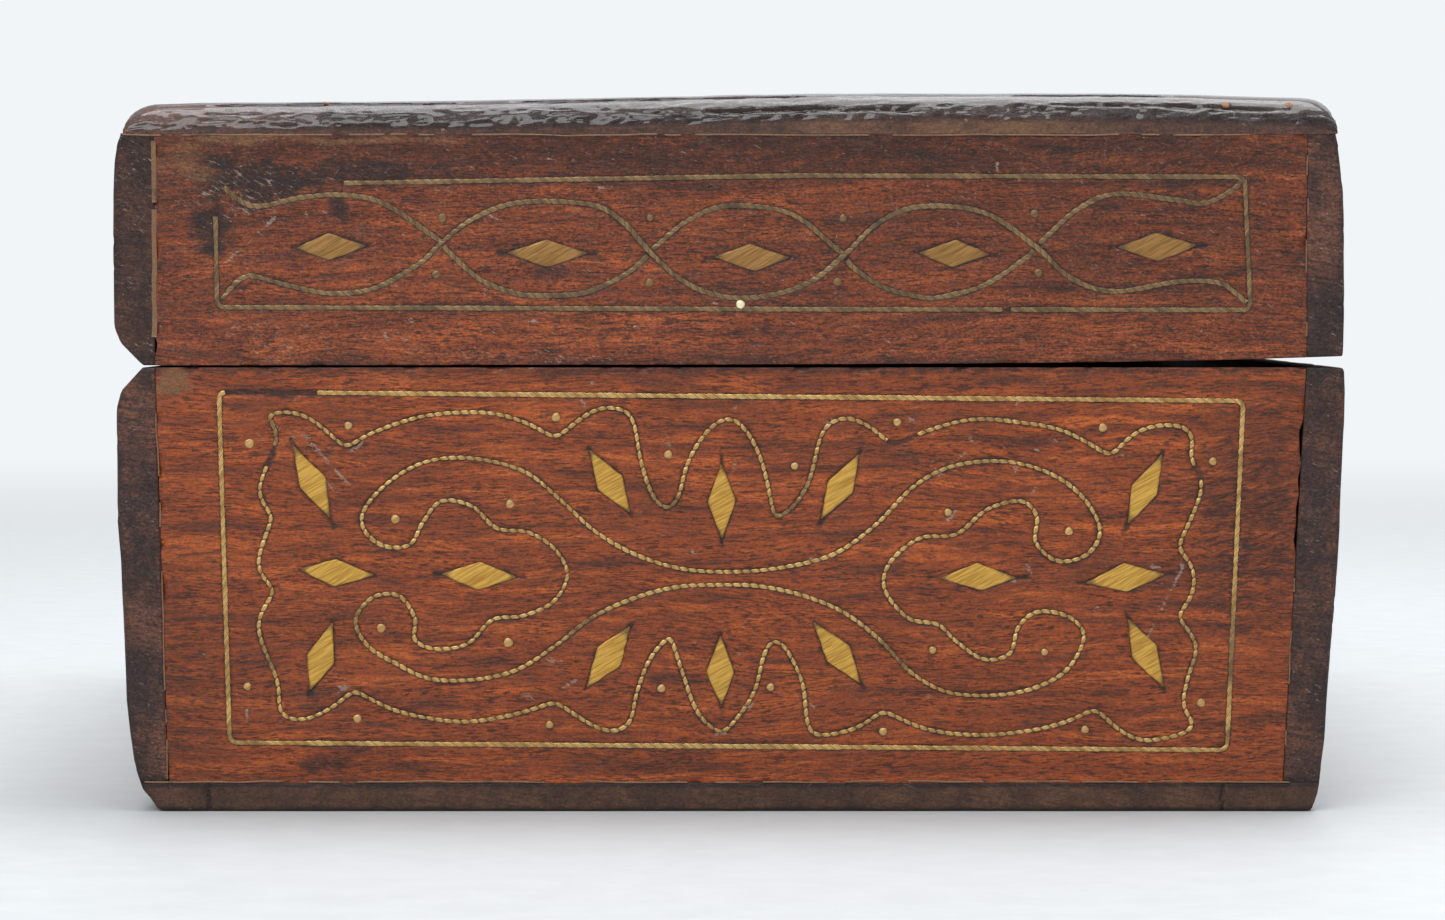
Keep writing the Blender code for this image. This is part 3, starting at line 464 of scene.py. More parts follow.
class Layout:
    """The wires, lozenges and dots of one face."""

    def __init__(self, seed):
        self.seed = seed
        self.wires = []  # (node, path, closed, style)
        self.plates = []  # (node, u, w, degrees, length)
        self.dots = []

    def add_base(self, scale=(1.0, 1.0), offset=(0.0, 0.0), wobble=0.0):
        paths = [
            ("base_border_wire", corner_path(BASE_BORDER, True), True, "rope"),
            ("base_frame_wire", joined_lobes(FRAME_LOBES), True, "beads"),
            ("base_scroll_wire", smooth_path(SCROLL, True), True, "beads"),
        ]
        return self.add(paths, "base", BASE_PLATES, BASE_DOTS, scale, offset, wobble)

    def add_lid(self, scale=(1.0, 1.0), offset=(0.0, 0.0), wobble=0.0):
        paths = [("lid_border_wire", corner_path(LID_BORDER, False), False, "rope"),
                 ("lid_wave_wire", smooth_path(LID_WAVE), False, "worn")]
        paths += [(f"lid_cross_wire_{i + 1}", smooth_path(wave), False, "worn")
                  for i, wave in enumerate(LID_CROSS_WAVES)]
        return self.add(paths, "lid", LID_PLATES, LID_DOTS, scale, offset, wobble)

    def add(self, paths, part, plates, dots, scale, offset, wobble):
        centre = PATTERN_CENTRES[part]
        for node, path, closed, style in paths:
            moved = hand_drawn(stretched(path, scale, offset, centre), wobble, self.seed)
            if closed:
                moved[-1] = moved[0]
            self.wires.append((node, moved, closed, style))
        for i, (u, w, degrees, length) in enumerate(plates):
            place = stretched([(u, w)], scale, offset, centre)[0]
            rise, run = math.sin(math.radians(degrees)) * scale[1], math.cos(math.radians(degrees)) * scale[0]
            turned = math.degrees(math.atan2(rise, run))
            self.plates.append((f"{part}_plate_{i + 1:02d}", place[0], place[1], turned, length))
        self.dots += [tuple(place) for place in stretched(dots, scale, offset, centre)]
        return self

    def wire_samples(self):
        return np.concatenate([evenly(path, 0.3) for _, path, _, _ in self.wires])

    def notch_samples(self):
        """Points along the saw cuts that run on past the lozenges' tips."""
        samples = []
        for i, (_, u, w, degrees, length) in enumerate(self.plates):
            turn = math.radians(degrees)
            for side in (-1, 1):
                reach = 0.2 + 1.1 * float(hashed(np.array([[i, side, self.seed]]), 3)[0])
                along = side * (length / 2 + np.arange(-1.0, reach, 0.25))
                samples.append(np.column_stack([u + along * math.cos(turn), w + along * math.sin(turn)]))
        return np.concatenate(samples)

    def plate_distance(self, uw):
        """How far outside the nearest lozenge a point is, roughly. It is negative inside."""
        best = np.full(len(uw), 1e3)
        for _, u, w, degrees, length in self.plates:
            turn = math.radians(degrees)
            du, dw = uw[:, 0] - u, uw[:, 1] - w
            along = np.abs(du * math.cos(turn) + dw * math.sin(turn))
            across = np.abs(dw * math.cos(turn) - du * math.sin(turn))
            slope = math.hypot(2 / length, 2 / PLATE_WIDTH)
            best = np.minimum(best, (along * 2 / length + across * 2 / PLATE_WIDTH - 1) / slope)
        return best

    def marks(self, uw, where):
        """For each (u, w) that the mask picks: how dirty the wood is from the inlay near it, and how deep the cut
        round it is. Both are 0 elsewhere."""
        halo, depth = np.zeros(len(uw)), np.zeros(len(uw))
        uw = uw[where]
        points = spread(uw)
        ragged = 0.28 * noise(points, 1.3, self.seed) + 0.22 * noise(points, 6.0, self.seed + 1)
        wire, notch = nearest(uw, self.wire_samples()), nearest(uw, self.notch_samples())
        dots, plate = nearest(uw, np.array(self.dots)), self.plate_distance(uw)
        dirt = 0.8 * (1 - step_between(0.2, 0.8 + ragged, wire))
        dirt = np.maximum(dirt, 0.85 * (1 - step_between(-0.3, 0.7 + 1.4 * ragged, plate)))
        dirt = np.maximum(dirt, 0.95 * (1 - step_between(0.0, 0.75 + ragged, notch)))
        dirt = np.maximum(dirt, 0.7 * (1 - step_between(0.4, 1.1 + ragged, dots)))
        cut = 0.14 * (1 - step_between(0.25, 0.55, wire))
        cut = np.maximum(cut, 0.14 * (1 - step_between(0.05, 0.4, plate)))
        cut = np.maximum(cut, 0.25 * (1 - step_between(0.05, 0.4, notch)))
        halo[where], depth[where] = np.clip(dirt, 0, 1), cut
        return halo, depth


# Wires, lozenges and dots.

STYLES = {  # bead pitch, width, depth of the gaps, how sharp they are, slant, how high the wire stands
    "beads": (1.28, 0.58, 0.14, 4.0, 0.14, 0.11),
    "rope": (1.45, 0.71, 0.11, 8.0, 0.36, 0.10),
    "worn": (1.30, 0.74, 0.10, 6.0, 0.30, 0.08),
    "dust": (6.00, 0.24, 0.00, 1.0, 0.00, 0.16),
    "filler": (6.00, 0.70, 0.00, 1.0, 0.00, 0.05),
}
ACROSS = np.array([-1.0, -0.82, -0.45, 0.0, 0.45, 0.82, 1.0])
INLAY_ROOT = -0.5  # how deep the inlay's hidden back lies
# Lozenges and dots from the middle out: share of their size, and how high they stand.
PLATE_PROFILE = [(0.0, 0.075), (0.3, 0.08), (0.6, 0.075), (0.85, 0.07), (0.96, 0.05), (1.0, 0.0), (1.0, INLAY_ROOT)]
DOT_PROFILE = [(0.0, 0.14), (0.35, 0.13), (0.7, 0.10), (0.92, 0.05), (1.0, -0.02), (1.0, INLAY_ROOT)]
DOT_SIDES = 14


def normals_along(line, closed):
    """Unit normals of a flat path."""
    ahead, behind = np.roll(line, -1, 0), np.roll(line, 1, 0)
    if not closed:
        ahead[-1], behind[0] = line[-1], line[0]
    tangent = ahead - behind
    tangent /= np.maximum(np.linalg.norm(tangent, axis=1, keepdims=True), 1e-9)
    return np.column_stack([-tangent[:, 1], tangent[:, 0]])


def strip_faces(count, ring, closed):
    """The quads along a strip of count rings, and the fans that close its ends."""
    index = np.arange(count * ring).reshape(count, ring)
    following = np.roll(index, -1, 0)
    if not closed:
        index, following = index[:-1], following[:-1]
    here, there = np.roll(index, -1, 1), np.roll(following, -1, 1)
    faces = [np.stack([index, following, there, here], -1).reshape(-1, 4)[:, ::-1]]
    if not closed:
        first, last = np.arange(ring), np.arange((count - 1) * ring, count * ring)
        for end, turn in ((first, 1), (last, -1)):
            faces.append(np.array([[end[0], end[k], end[k + 1]][::turn] for k in range(1, ring - 1)]))
    return faces


def wire_strip(path, closed, style, place, spacing, seed):
    """A twisted wire hammered into the wood: points, faces and attributes."""
    pitch, width, gap_depth, sharpness, slant, height = STYLES[style]
    line = evenly(path, spacing)
    if closed:
        line = line[:-1]
    normal, count, places = normals_along(line, closed), len(line), spread(line)
    along = np.arange(count) * np.linalg.norm(np.diff(line[:2], axis=0))
    stretch = 1 + 0.1 * noise(places, 9.0, seed)
    beads = (along / pitch)[:, None] + (slant * ACROSS)[None, :] * stretch[:, None]
    if closed:
        beads *= round(along[-1] / pitch) / (along[-1] / pitch)
    gap = (0.5 + 0.5 * np.cos(2 * math.pi * beads)) ** sharpness
    half = width / 2 * (1 + 0.14 * noise(places, 2.5, seed + 1) - 2.6 * gap_depth * gap[:, len(ACROSS) // 2])
    crown = height * (0.35 + 0.65 * np.sqrt(1 - 0.95 * ACROSS ** 2))
    lift = crown[None, :] * (1 + 0.3 * noise(places, 3.0, seed + 2))[:, None] - gap_depth * gap
    u = line[:, :1] + normal[:, :1] * half[:, None] * ACROSS[None, :]
    w = line[:, 1:] + normal[:, 1:] * half[:, None] * ACROSS[None, :]
    u, w = np.column_stack([u, u[:, -1], u[:, 0]]), np.column_stack([w, w[:, -1], w[:, 0]])
    lift = np.column_stack([lift, np.full((count, 2), INLAY_ROOT)])
    points = place(u.ravel(), w.ravel(), lift.ravel())
    bead_cells = [np.floor(beads + 0.5), np.full(beads.shape, 3), np.full(beads.shape, 5)]
    tone = hashed(np.stack(bead_cells, -1), seed)
    ring = len(ACROSS) + 2
    attributes = {
        "gap": np.column_stack([gap, np.ones((count, 2))]).ravel(),
        "tone": np.column_stack([tone, tone[:, -1:], tone[:, :1]]).ravel(),
        "tarnish": np.repeat(0.5 + 0.5 * rough_noise(places, 11.0, seed + 3), ring),
    }
    return points, strip_faces(count, ring, closed), attributes


def merged(parts):
    """Several (points, faces, attributes) as one."""
    points, attributes, faces, total = [], {}, {}, 0
    for part_points, part_faces, part_attributes in parts:
        points.append(part_points)
        for group in part_faces:
            faces.setdefault(group.shape[1], []).append(group + total)
        for key, values in part_attributes.items():
            attributes.setdefault(key, []).append(values)
        total += len(part_points)
    return (np.concatenate(points), [np.concatenate(groups) for groups in faces.values()],
            {key: np.concatenate(values) for key, values in attributes.items()})


def kept_runs(path, closed, lost):
    """The stretches of a path outside these (u, w, radius) gaps, or None if it is whole."""
    path = evenly(path, 0.2)
    keep = np.ones(len(path), bool)
    for u, w, radius in lost:
        keep &= np.hypot(path[:, 0] - u, path[:, 1] - w) > radius
    if keep.all():
        return None
    start = int(np.argmin(keep)) if closed else 0
    path, keep = np.roll(path, -start, 0), np.roll(keep, -start)
    edges = np.flatnonzero(np.diff(np.concatenate([[0], keep.astype(int), [0]])))
    return [path[a:b] for a, b in edges.reshape(-1, 2) if b - a > 8]


def domed(line, profile):
    """A closed shape of a middle, copies of a closed line at a profile's shares and heights, and a back.
    Returns flat points, heights, the share of the size at each point, and faces."""
    count, rings = len(line), len(profile) - 1
    local = np.concatenate([[[0.0, 0.0]]] + [line * share for share, _ in profile[1:]] + [[[0.0, 0.0]]])
    heights = [np.full(count, height) for _, height in profile[1:]]
    lift = np.concatenate([[profile[0][1]]] + heights + [[INLAY_ROOT]])
    shares = np.concatenate([[0.0]] + [np.full(count, share) for share, _ in profile[1:]] + [[1.0]])
    first = np.arange(1, count + 1)
    last = first + (rings - 1) * count
    fans = [np.column_stack([np.zeros(count, int), first, np.roll(first, -1)]),
            np.column_stack([np.full(count, rings * count + 1), np.roll(last, -1), last])]
    quads = []
    for k in range(rings - 1):
        low, high = first + k * count, first + (k + 1) * count
        quads.append(np.column_stack([low, high, np.roll(high, -1), np.roll(low, -1)]))
    return local, lift, shares, [np.concatenate(fans), np.concatenate(quads)]


def plate_solid(u, w, degrees, length, place, seed):
    """A thin lozenge with uneven edges and a worn bevel."""
    turn = math.radians(degrees)
    chance = hashed(np.array([[k, seed, 1] for k in range(8)]), 11) - 0.5
    half, half_width = length / 2, PLATE_WIDTH / 2
    corners = [(half + 0.5 * chance[0], 0.3 * chance[1]), (0.8 * chance[2], half_width + 0.3 * chance[3]),
               (-half + 0.5 * chance[4], 0.3 * chance[5]), (0.8 * chance[6], -half_width + 0.3 * chance[7])]
    line = evenly(corner_path(corners, True, radius=0.35), 0.3)[:-1]
    line += 0.05 * np.column_stack([noise(spread(line), 0.9, seed), noise(spread(line), 0.9, seed + 1)])
    local, lift, shares, faces = domed(line, PLATE_PROFILE)
    for dent in (0.8, 3.0):
        lift[:-1] += np.where(lift[:-1] > 0.04, 0.02 * noise(spread(local[:-1] + seed), dent, seed), 0)
    along_u = u + local[:, 0] * math.cos(turn) - local[:, 1] * math.sin(turn)
    along_w = w + local[:, 0] * math.sin(turn) + local[:, 1] * math.cos(turn)
    tone = np.full(len(local), float(chance[0] + 0.5))
    attributes = {"edge": shares ** 6, "tips": np.abs(local[:, 0]) / half, "tone": tone}
    return place(along_u, along_w, lift), faces, attributes


def dot_solid(u, w, place, seed, size=DOT_RADIUS):
    """A domed brass dot, or the end of a peg."""
    chance = hashed(np.array([[seed, k, 2] for k in range(3)]), 5)
    radius = size * (0.88 + 0.28 * chance[0])
    angles = np.arange(DOT_SIDES) / DOT_SIDES * 2 * math.pi
    circle = np.column_stack([np.cos(angles), np.sin(angles)]) * (1 + 0.06 * np.sin(3 * angles + seed))[:, None]
    local, lift, shares, faces = domed(circle * radius, DOT_PROFILE)
    attributes = {"edge": shares ** 3, "tips": np.full(len(local), 0.4 * chance[1]),
                  "tone": np.full(len(local), float(chance[2]))}
    return place(u + local[:, 0], w + local[:, 1], lift), faces, attributes


# Faces: (u, w) on a face and a height above it, as XYZ.

TOP_EDGE_RUN = 5.0  # how far the rounding of the top board's ends reaches in
TOP_EDGE_RISE = 4.6  # how high it rises
TOP_EDGE_LENGTH = 7.6  # and how long its arc is


def near_end(u, w, lift):
    return np.column_stack([u, NEAR_Y - lift, w])


def far_end(u, w, lift):
    return np.column_stack([-u, FAR_Y + lift, w])


def wall_face(table, side):
    def place(u, w, lift):
        return np.column_stack([outer_face(table, side, w) + side * lift, side * u, w])
    return place


def top_edge(u, w, lift):
    """The top board's rounded near end: w is minus the distance along its arc."""
    turn = -w / TOP_EDGE_LENGTH * math.pi / 2
    run, rise = TOP_EDGE_RUN * np.cos(turn), TOP_EDGE_RISE * np.sin(turn)
    length = np.hypot(run, rise)
    y = NEAR_Y + TOP_EDGE_RUN * (1 - np.sin(turn)) - lift * rise / length
    z = outline(TOP_OUTLINE, u) - TOP_EDGE_RISE * (1 - np.cos(turn)) + lift * run / length
    return np.column_stack([u, y, z])


def top_face(u, w, lift):
    return np.column_stack([-w, u, outline(TOP_OUTLINE, -w) + lift])


def finish_piece(piece, body, slot, material, *nodes):
    """Gives a piece its material, puts it on the body it rides on, and hides the CAD nodes it stands for."""
    piece.data.materials.append(material)
    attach(piece, body)
    if nodes:
        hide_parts(*nodes)
    return piece


# Wear on the near end: patches of dirt, filler and scuffs, and single scratches.

PATCHES = [  # kind, u, w, half width, half height, strength
    ("tan", -81.0, 62.4, 2.8, 2.6, 2.3),
    ("tan", -70.5, 98.0, 9.0, 1.0, 1.1),
    ("tan", -52.0, 97.6, 14.0, 0.7, 0.9),
    ("tan", -78.5, 94.0, 5.0, 3.6, 0.6),
    ("grime", -69.0, 92.0, 9.0, 5.5, 1.3),
    ("grime", -75.0, 86.0, 3.2, 6.0, 1.2),
    ("grime", -57.0, 88.2, 1.5, 2.6, 1.0),
    ("grime", -50.0, 93.5, 17.0, 2.2, 0.9),
    ("grime", -64.0, 91.5, 9.0, 0.9, 1.2),
    ("grime", -66.8, 60.9, 6.8, 0.6, 1.4),
    ("grime", -20.0, 91.8, 60.0, 1.0, 0.4),
    ("grime", -60.0, 7.0, 9.0, 2.6, 0.65),
    ("grime", -30.0, 7.4, 12.0, 1.5, 0.35),
    ("grime", 79.5, 45.0, 4.0, 18.0, 0.5),
    ("grime", -79.0, 74.0, 4.0, 9.0, 0.25),
    ("grime", 24.0, 57.0, 5.0, 1.6, 0.5),
    ("grime", 72.0, 38.0, 5.0, 20.0, 0.3),
    ("grime", 66.0, 88.0, 8.0, 5.0, 0.35),
    ("pale", -36.0, 66.2, 27.0, 1.5, 0.42),
    ("pale", -70.0, 69.5, 12.0, 4.0, 0.42),
    ("pale", -70.0, 90.0, 9.0, 8.0, 0.52),
    ("pale", -37.0, 45.0, 9.0, 1.4, 0.25),
    ("pale", 31.0, 49.5, 5.0, 2.5, 0.3),
    ("pale", -63.0, 54.0, 4.5, 4.5, 0.35),
    ("pale", -21.0, 78.6, 1.3, 0.35, 1.1),
    ("pale", -26.0, 95.0, 2.0, 0.35, 1.0),
    ("pale", 34.0, 69.0, 30.0, 2.0, 0.25),
]
SHADES = [  # soft darkening of the near end: u, w, half width, half height, strength
    (0.0, 97.0, 130.0, 8.0, 0.95), (60.0, 84.0, 45.0, 14.0, 0.4), (20.0, 83.0, 30.0, 5.0, 0.35),
    (-72.0, 90.0, 18.0, 9.0, 0.5), (78.0, 45.0, 12.0, 28.0, 0.45), (-80.0, 20.0, 9.0, 26.0, 0.4),
    (0.0, 64.5, 120.0, 2.4, 0.5),
]
HATCHES = [(74.0, 42.0, 14.0, 24.0, 1.0), (58.0, 95.0, 36.0, 5.0, 0.8), (-80.0, 90.0, 6.0, 10.0, 0.8)]
SCRATCHES = [
    [(-73.2, 80.1), (-70.5, 82.4), (-66.2, 86.4)],
    [(-67.0, 57.0), (-62.4, 51.8), (-57.2, 46.2)],
    [(-64.6, 57.6), (-60.0, 52.6), (-55.4, 47.4)],
    [(-26.5, 95.1), (-23.0, 94.6)],
    [(30.0, 49.0), (34.0, 52.2)],
    [(26.0, 57.2), (29.5, 55.0)],
    [(60.5, 25.0), (66.0, 36.0)],
]
LOST_WIRE = {
    "base_border_wire": [(-66.8, 60.9, 6.6)],
    "base_frame_wire": [(-66.3, 51.5, 1.6), (-64.6, 55.8, 0.8), (25.0, 53.9, 2.2), (67.9, 49.3, 1.0)],
    "lid_border_wire": [(-74.8, 90.0, 3.4), (40.0, 73.1, 0.5)],
}
JOINT_CRACKS = [  # open lengths of the end panels' upright joints: side, low, high and width
    (-1, 65.2, 69.8, 0.3), (1, 36.0, 57.5, 0.22), (-1, 3.0, 10.0, 0.08), (1, 80.0, 90.0, 0.08),
]
FILLER_LOW, FILLER_HIGH = 69.0, 97.6  # the pale filler in the lid panel's joint at the hinged side


def random_scratches(count, low, high, seed):
    """Short faint scratches at random over a face."""
    chance = np.random.default_rng(seed)
    scratches = []
    for _ in range(count):
        start = chance.uniform(low, high)
        turn = chance.normal(0.3, 0.9)
        step = np.array([math.cos(turn), math.sin(turn)]) * chance.uniform(0.5, 2.2)
        bow = np.array([-step[1], step[0]]) * chance.normal(0, 0.12)
        scratches.append([start, start + step / 2 + bow, start + step])
    return scratches


def wear_marks(uw, patches, scratches, seed):
    """The strength of each kind of patch and scratch at these points."""
    points = spread(uw)
    marks = {"grime": np.zeros(len(uw)), "tan": np.zeros(len(uw)), "pale": np.zeros(len(uw))}
    for i, (kind, u, w, half_u, half_w, strength) in enumerate(patches):
        reach = np.hypot((uw[:, 0] - u) / half_u, (uw[:, 1] - w) / half_w)
        close = reach < 1.6
        ragged = rough_noise(points[close], (5.0, 1.0, 2.2), seed + i, 4)
        inside = 1 - step_between(0.0, 1.3, reach[close] + 0.8 * ragged)
        marks[kind][close] = np.maximum(marks[kind][close], strength * inside)
    samples = np.concatenate([evenly(smooth_path(scratch), 0.15) for scratch in scratches])
    near = nearest(uw, samples)
    scratch = (1 - step_between(0.08, 0.42, near)) * step_between(-0.7, 0.2, noise(points, 1.7, seed + 90))
    marks["pale"] = np.maximum(marks["pale"], 0.95 * scratch)
    return marks, scratch


def shade_of(uw, shades, seed):
    """Soft darkening, from 0 to 1."""
    shade = np.zeros(len(uw))
    uneven = rough_noise(spread(uw), (20.0, 1.0, 5.0), seed)
    for u, w, half_u, half_w, strength in shades:
        reach = np.hypot((uw[:, 0] - u) / half_u, (uw[:, 1] - w) / half_w)
        shade = np.maximum(shade, strength * (1 - step_between(0.2, 1.1, reach + 0.25 * uneven)))
    return shade


# Boards.

PANEL_EDGE = 0.12
PANEL_WALL_ROWS = 5
PANEL_WEAR = {"base": (0.55, 0.10), "lid": (0.3, 0.17)}  # dirt along the upper edge, and pale haze all over
BASE_LOW = WALL_FOOT - SEAM
LID_HIGH = WALL_TOP + SEAM


def lower_edge(body, x):
    """The height of the walls' lower edge: level on the base, and warped on the lid."""
    return lid_rim(x) if body == "lid" else np.full(np.shape(x), BASE_LOW)


def joint_gaps(z, seed):
    """How far an end panel's upright joints have opened at these heights, on the hinged and on the opening side."""
    uneven = np.clip(1 + 1.3 * noise(spread(np.column_stack([np.zeros(len(z)), z])), 2.2, seed), 0, None)
    return [uneven * sum(width * step_between(start, start + 2, z) * (1 - step_between(end - 2, end, z))
                         for side, start, end, width in JOINT_CRACKS if side == wanted) for wanted in (-1, 1)]


def panel_sides(body, half, z, seed):
    """The x of both upright edges of an end panel."""
    if body == "base":
        left, right = wall_inside(-1, z) + SEAM_LEFT, wall_inside(1, z) - SEAM_LEFT
    else:
        left, right = np.full(len(z), -half - SEAM_LEFT), np.full(len(z), half + SEAM_LEFT)
    gaps = joint_gaps(z, seed)
    return left + gaps[0], right - gaps[1]


def panel_dirt(points, edge, from_top, top_strength, seed):
    """Dirt along an end panel's edges, and more of it along its upper edge."""
    ragged = rough_noise(points, (7.0, 1.0, 1.6), seed)
    dirt = 0.3 * (1 - step_between(0.0, 0.9 + 0.8 * ragged, edge))
    return np.maximum(dirt, top_strength * (1 - step_between(0.2, 1.6 + 1.2 * ragged, from_top)))


def panel_relief(points, edge, seed):
    """How far an end panel's uneven, chipped face stands out."""
    swell = 0.10 * rough_noise(points, (26.0, 1.0, 9.0), seed) + 0.03 * noise(points, (6.0, 1.0, 1.2), seed + 1)
    chips = step_between(0.45, 0.8, noise(points, (2.6, 1.0, 2.6), seed + 2))
    return swell - 0.35 * chips * (1 - step_between(0.2, 0.9, edge))


def make_end_panel(body, end, layout, material, spacing, patches, scratches, seed):
    """An end panel of the base or the lid."""
    half = INNER_RIM_X + SEAM
    high = BASE_RIM if body == "base" else LID_HIGH
    height = high - lower_edge(body, 0.0)
    columns = np.linspace(PANEL_EDGE - half, half - PANEL_EDGE, int(2 * half / spacing))
    rows = np.linspace(PANEL_EDGE, height - PANEL_EDGE, int(height / spacing))
    rings = edge_rings(PANEL_EDGE, END_THICKNESS, PANEL_WALL_ROWS)
    (a, b, out_a, out_b, depth), faces = plank(columns, rows, rings)
    a, b = a + out_a, b + out_b
    near = end == "near"
    foot = lower_edge(body, a if near else -a)
    z = foot + b / height * (high - foot)
    left, right = panel_sides(body, half, z, seed + 50)
    if not near:
        left, right = -right, -left
    x = left + (a + half) / (2 * half) * (right - left)
    uw, front = np.column_stack([x, z]), depth < PANEL_EDGE * 0.9
    points = spread(uw)
    halo, cut = layout.marks(uw, front)
    marks, scratch = wear_marks(uw, patches, scratches, seed)
    edge = np.minimum(np.minimum(a + half, half - a), np.minimum(b, height - b))
    top_dirt, haze = PANEL_WEAR[body]
    dirt = panel_dirt(points, edge, height - b, top_dirt, seed + 40)
    sunk = np.where(front, cut + 0.07 * scratch - panel_relief(points, edge, seed + 41), 0.0)
    attributes = {
        "grime": np.clip(np.maximum(np.maximum(halo, marks["grime"]), dirt), 0, 1),
        "tan": marks["tan"],
        "pale": np.maximum(marks["pale"], haze),
        "shade": shade_of(uw, SHADES, seed + 60),
        "hatch": shade_of(uw, HATCHES, seed + 61),
    }
    attributes = {key: values * (depth < END_THICKNESS * 0.9) for key, values in attributes.items()}
    placed = (near_end if near else far_end)(x, z, -(depth + sunk))
    piece = make_piece(f"{body}_{end}_end_panel_wood", placed, faces, attributes, flat=(1,))
    finish_piece(piece, body, "panel_wood", material, f"{body}_{end}_end_panel")


def graded(low, high, fine, coarse, reach):
    """Grid lines from low to high, close together within reach of each end."""
    start = np.arange(low, low + reach, fine)
    end = np.arange(high, high - reach, -fine)[::-1]
    middle = np.linspace(low + reach, high - reach, int((high - low - 2 * reach) / coarse) + 1)
    return np.unique(np.concatenate([start, middle, end]).round(6))


WALL_THICKNESS = 5.3
WALL_EDGE = 0.5
JOINT_EDGE = 0.08  # boards meet crisply where they are joined
WARP_REACH = 12  # how far up its walls the lid's warped rim fades out
WALL_PALE = {"base": 0.22, "lid": 0.30}  # scuffs on the end grain
HINGED_LID_SHADE = 0.55


def wall_grid(body, side, table, low, high, rows, seed):
    """A long wall before wear: its points, quads, and each point's share of the way in from the outer face."""
    height = high - low
    depths = [[0, 0.2, 0.45], np.linspace(0.8, WALL_THICKNESS - 0.8, 9), [WALL_THICKNESS - 0.4, WALL_THICKNESS]]
    ys = graded(NEAR_Y, FAR_Y, 0.4, 0.72, 3.0)
    points, quads = block(np.concatenate(depths), ys, np.linspace(0, 1, rows) * height)
    joined = points[:, 2] < 2 if body == "base" else points[:, 2] > height - 2
    worn = WALL_EDGE * (1 + 0.7 * noise(points, (8.0, 8.0, 5.0), seed))
    worn = np.where(joined | (points[:, 0] > WALL_THICKNESS / 2), JOINT_EDGE, worn)
    rounded = round_edges(points, (0, NEAR_Y, 0), (WALL_THICKNESS, FAR_Y, height), worn)
    share, y, z = rounded[:, 0] / WALL_THICKNESS, rounded[:, 1], rounded[:, 2] + low
    if body == "base":
        outer, inner = outer_face(table, side, z), wall_inside(side, z)
    else:
        inner = np.full(len(z), side * (INNER_RIM_X + CAD_SEAM))
        rim = lid_rim(outer_face(table, side, z) + (inner - outer_face(table, side, z)) * share)
        z = np.where(z < low + WARP_REACH, rim + (z - low) * (low + WARP_REACH - rim) / WARP_REACH, z)
        outer = outer_face(table, side, np.maximum(z, low))
    placed = np.column_stack([outer + (inner - outer) * share, y, z])
    return placed, quads[:, ::-1] if side > 0 else quads, share


def wall_relief(points, share, at_end, seed):
    """How far a long wall's uneven, nicked face stands out, with the saw's marks on its end grain."""
    swell = 0.10 * rough_noise(points, (20.0, 30.0, 12.0), seed + 1)
    nicks = step_between(0.5, 0.85, noise(points, (3.5, 3.5, 1.8), seed + 2))
    nicks *= (1 - step_between(0.2, 1.6, share * WALL_THICKNESS)) * np.where(at_end, 1.0, 0.25)
    saw = points[:, 0] * 0.8 + points[:, 2] * 0.6 + 0.5 * noise(points, 5.0, seed + 3)
    return swell + 0.02 * np.sin(saw * 2 * math.pi / 1.7) * at_end - 0.35 * nicks


def make_wall(body, place, side, table, low, high, layout, material, seed, rows):
    """A long wall of the base or the lid, on the back (side -1) or the front (side 1)."""
    placed, quads, share = wall_grid(body, side, table, low, high, rows, seed)
    y, z = placed[:, 1], placed[:, 2]
    at_end = np.abs(y) > FAR_Y - 0.3
    halo, cut = layout.marks(np.column_stack([side * y, z]), share < 0.02)
    relief = wall_relief(placed, share, at_end, seed) * clear_of_hinge(side, z)
    placed = placed + normals_of(placed, [quads]) * (relief - cut)[:, None]
    ragged = rough_noise(placed, (5.0, 9.0, 2.0), seed + 5)
    dirt = 0.7 * (1 - step_between(0.2, 2.5 + 2.0 * ragged, np.minimum(z - z.min(), z.max() - z)))
    # the end grain is painted darker along its outer edge; this is carried in grime
    darker_outer_edge = (1 - step_between(0.0, 1.5 + 1.0 * ragged, share * WALL_THICKNESS)) * at_end
    attributes = {
        "grime": np.clip(np.maximum(np.maximum(halo, dirt), 0.55 * darker_outer_edge), 0, 1),
        "shade": HINGED_LID_SHADE * (body == "lid" and side < 0) * at_end,
        "end": 1 - step_between(0.3, 1.2, FAR_Y - np.abs(y)),
        "pale": WALL_PALE[body] * at_end * step_between(-0.3, 0.3, ragged),
    }
    piece = make_piece(f"{body}_{place}_board_wood", placed, [quads], attributes)
    return finish_piece(piece, body, "board_wood", material, f"{body}_{place}_board")


HINGE_ROOM_X = (-85.25, -81.0)
HINGE_ROOM_Z = {"base": (53.6, 66.3), "lid": (63.3, 76.0)}
HINGE_ROOM_REACH = 12.3  # half of its length
BARREL_SEAT_RADIUS = 1.65
BARREL_SIDES = 24


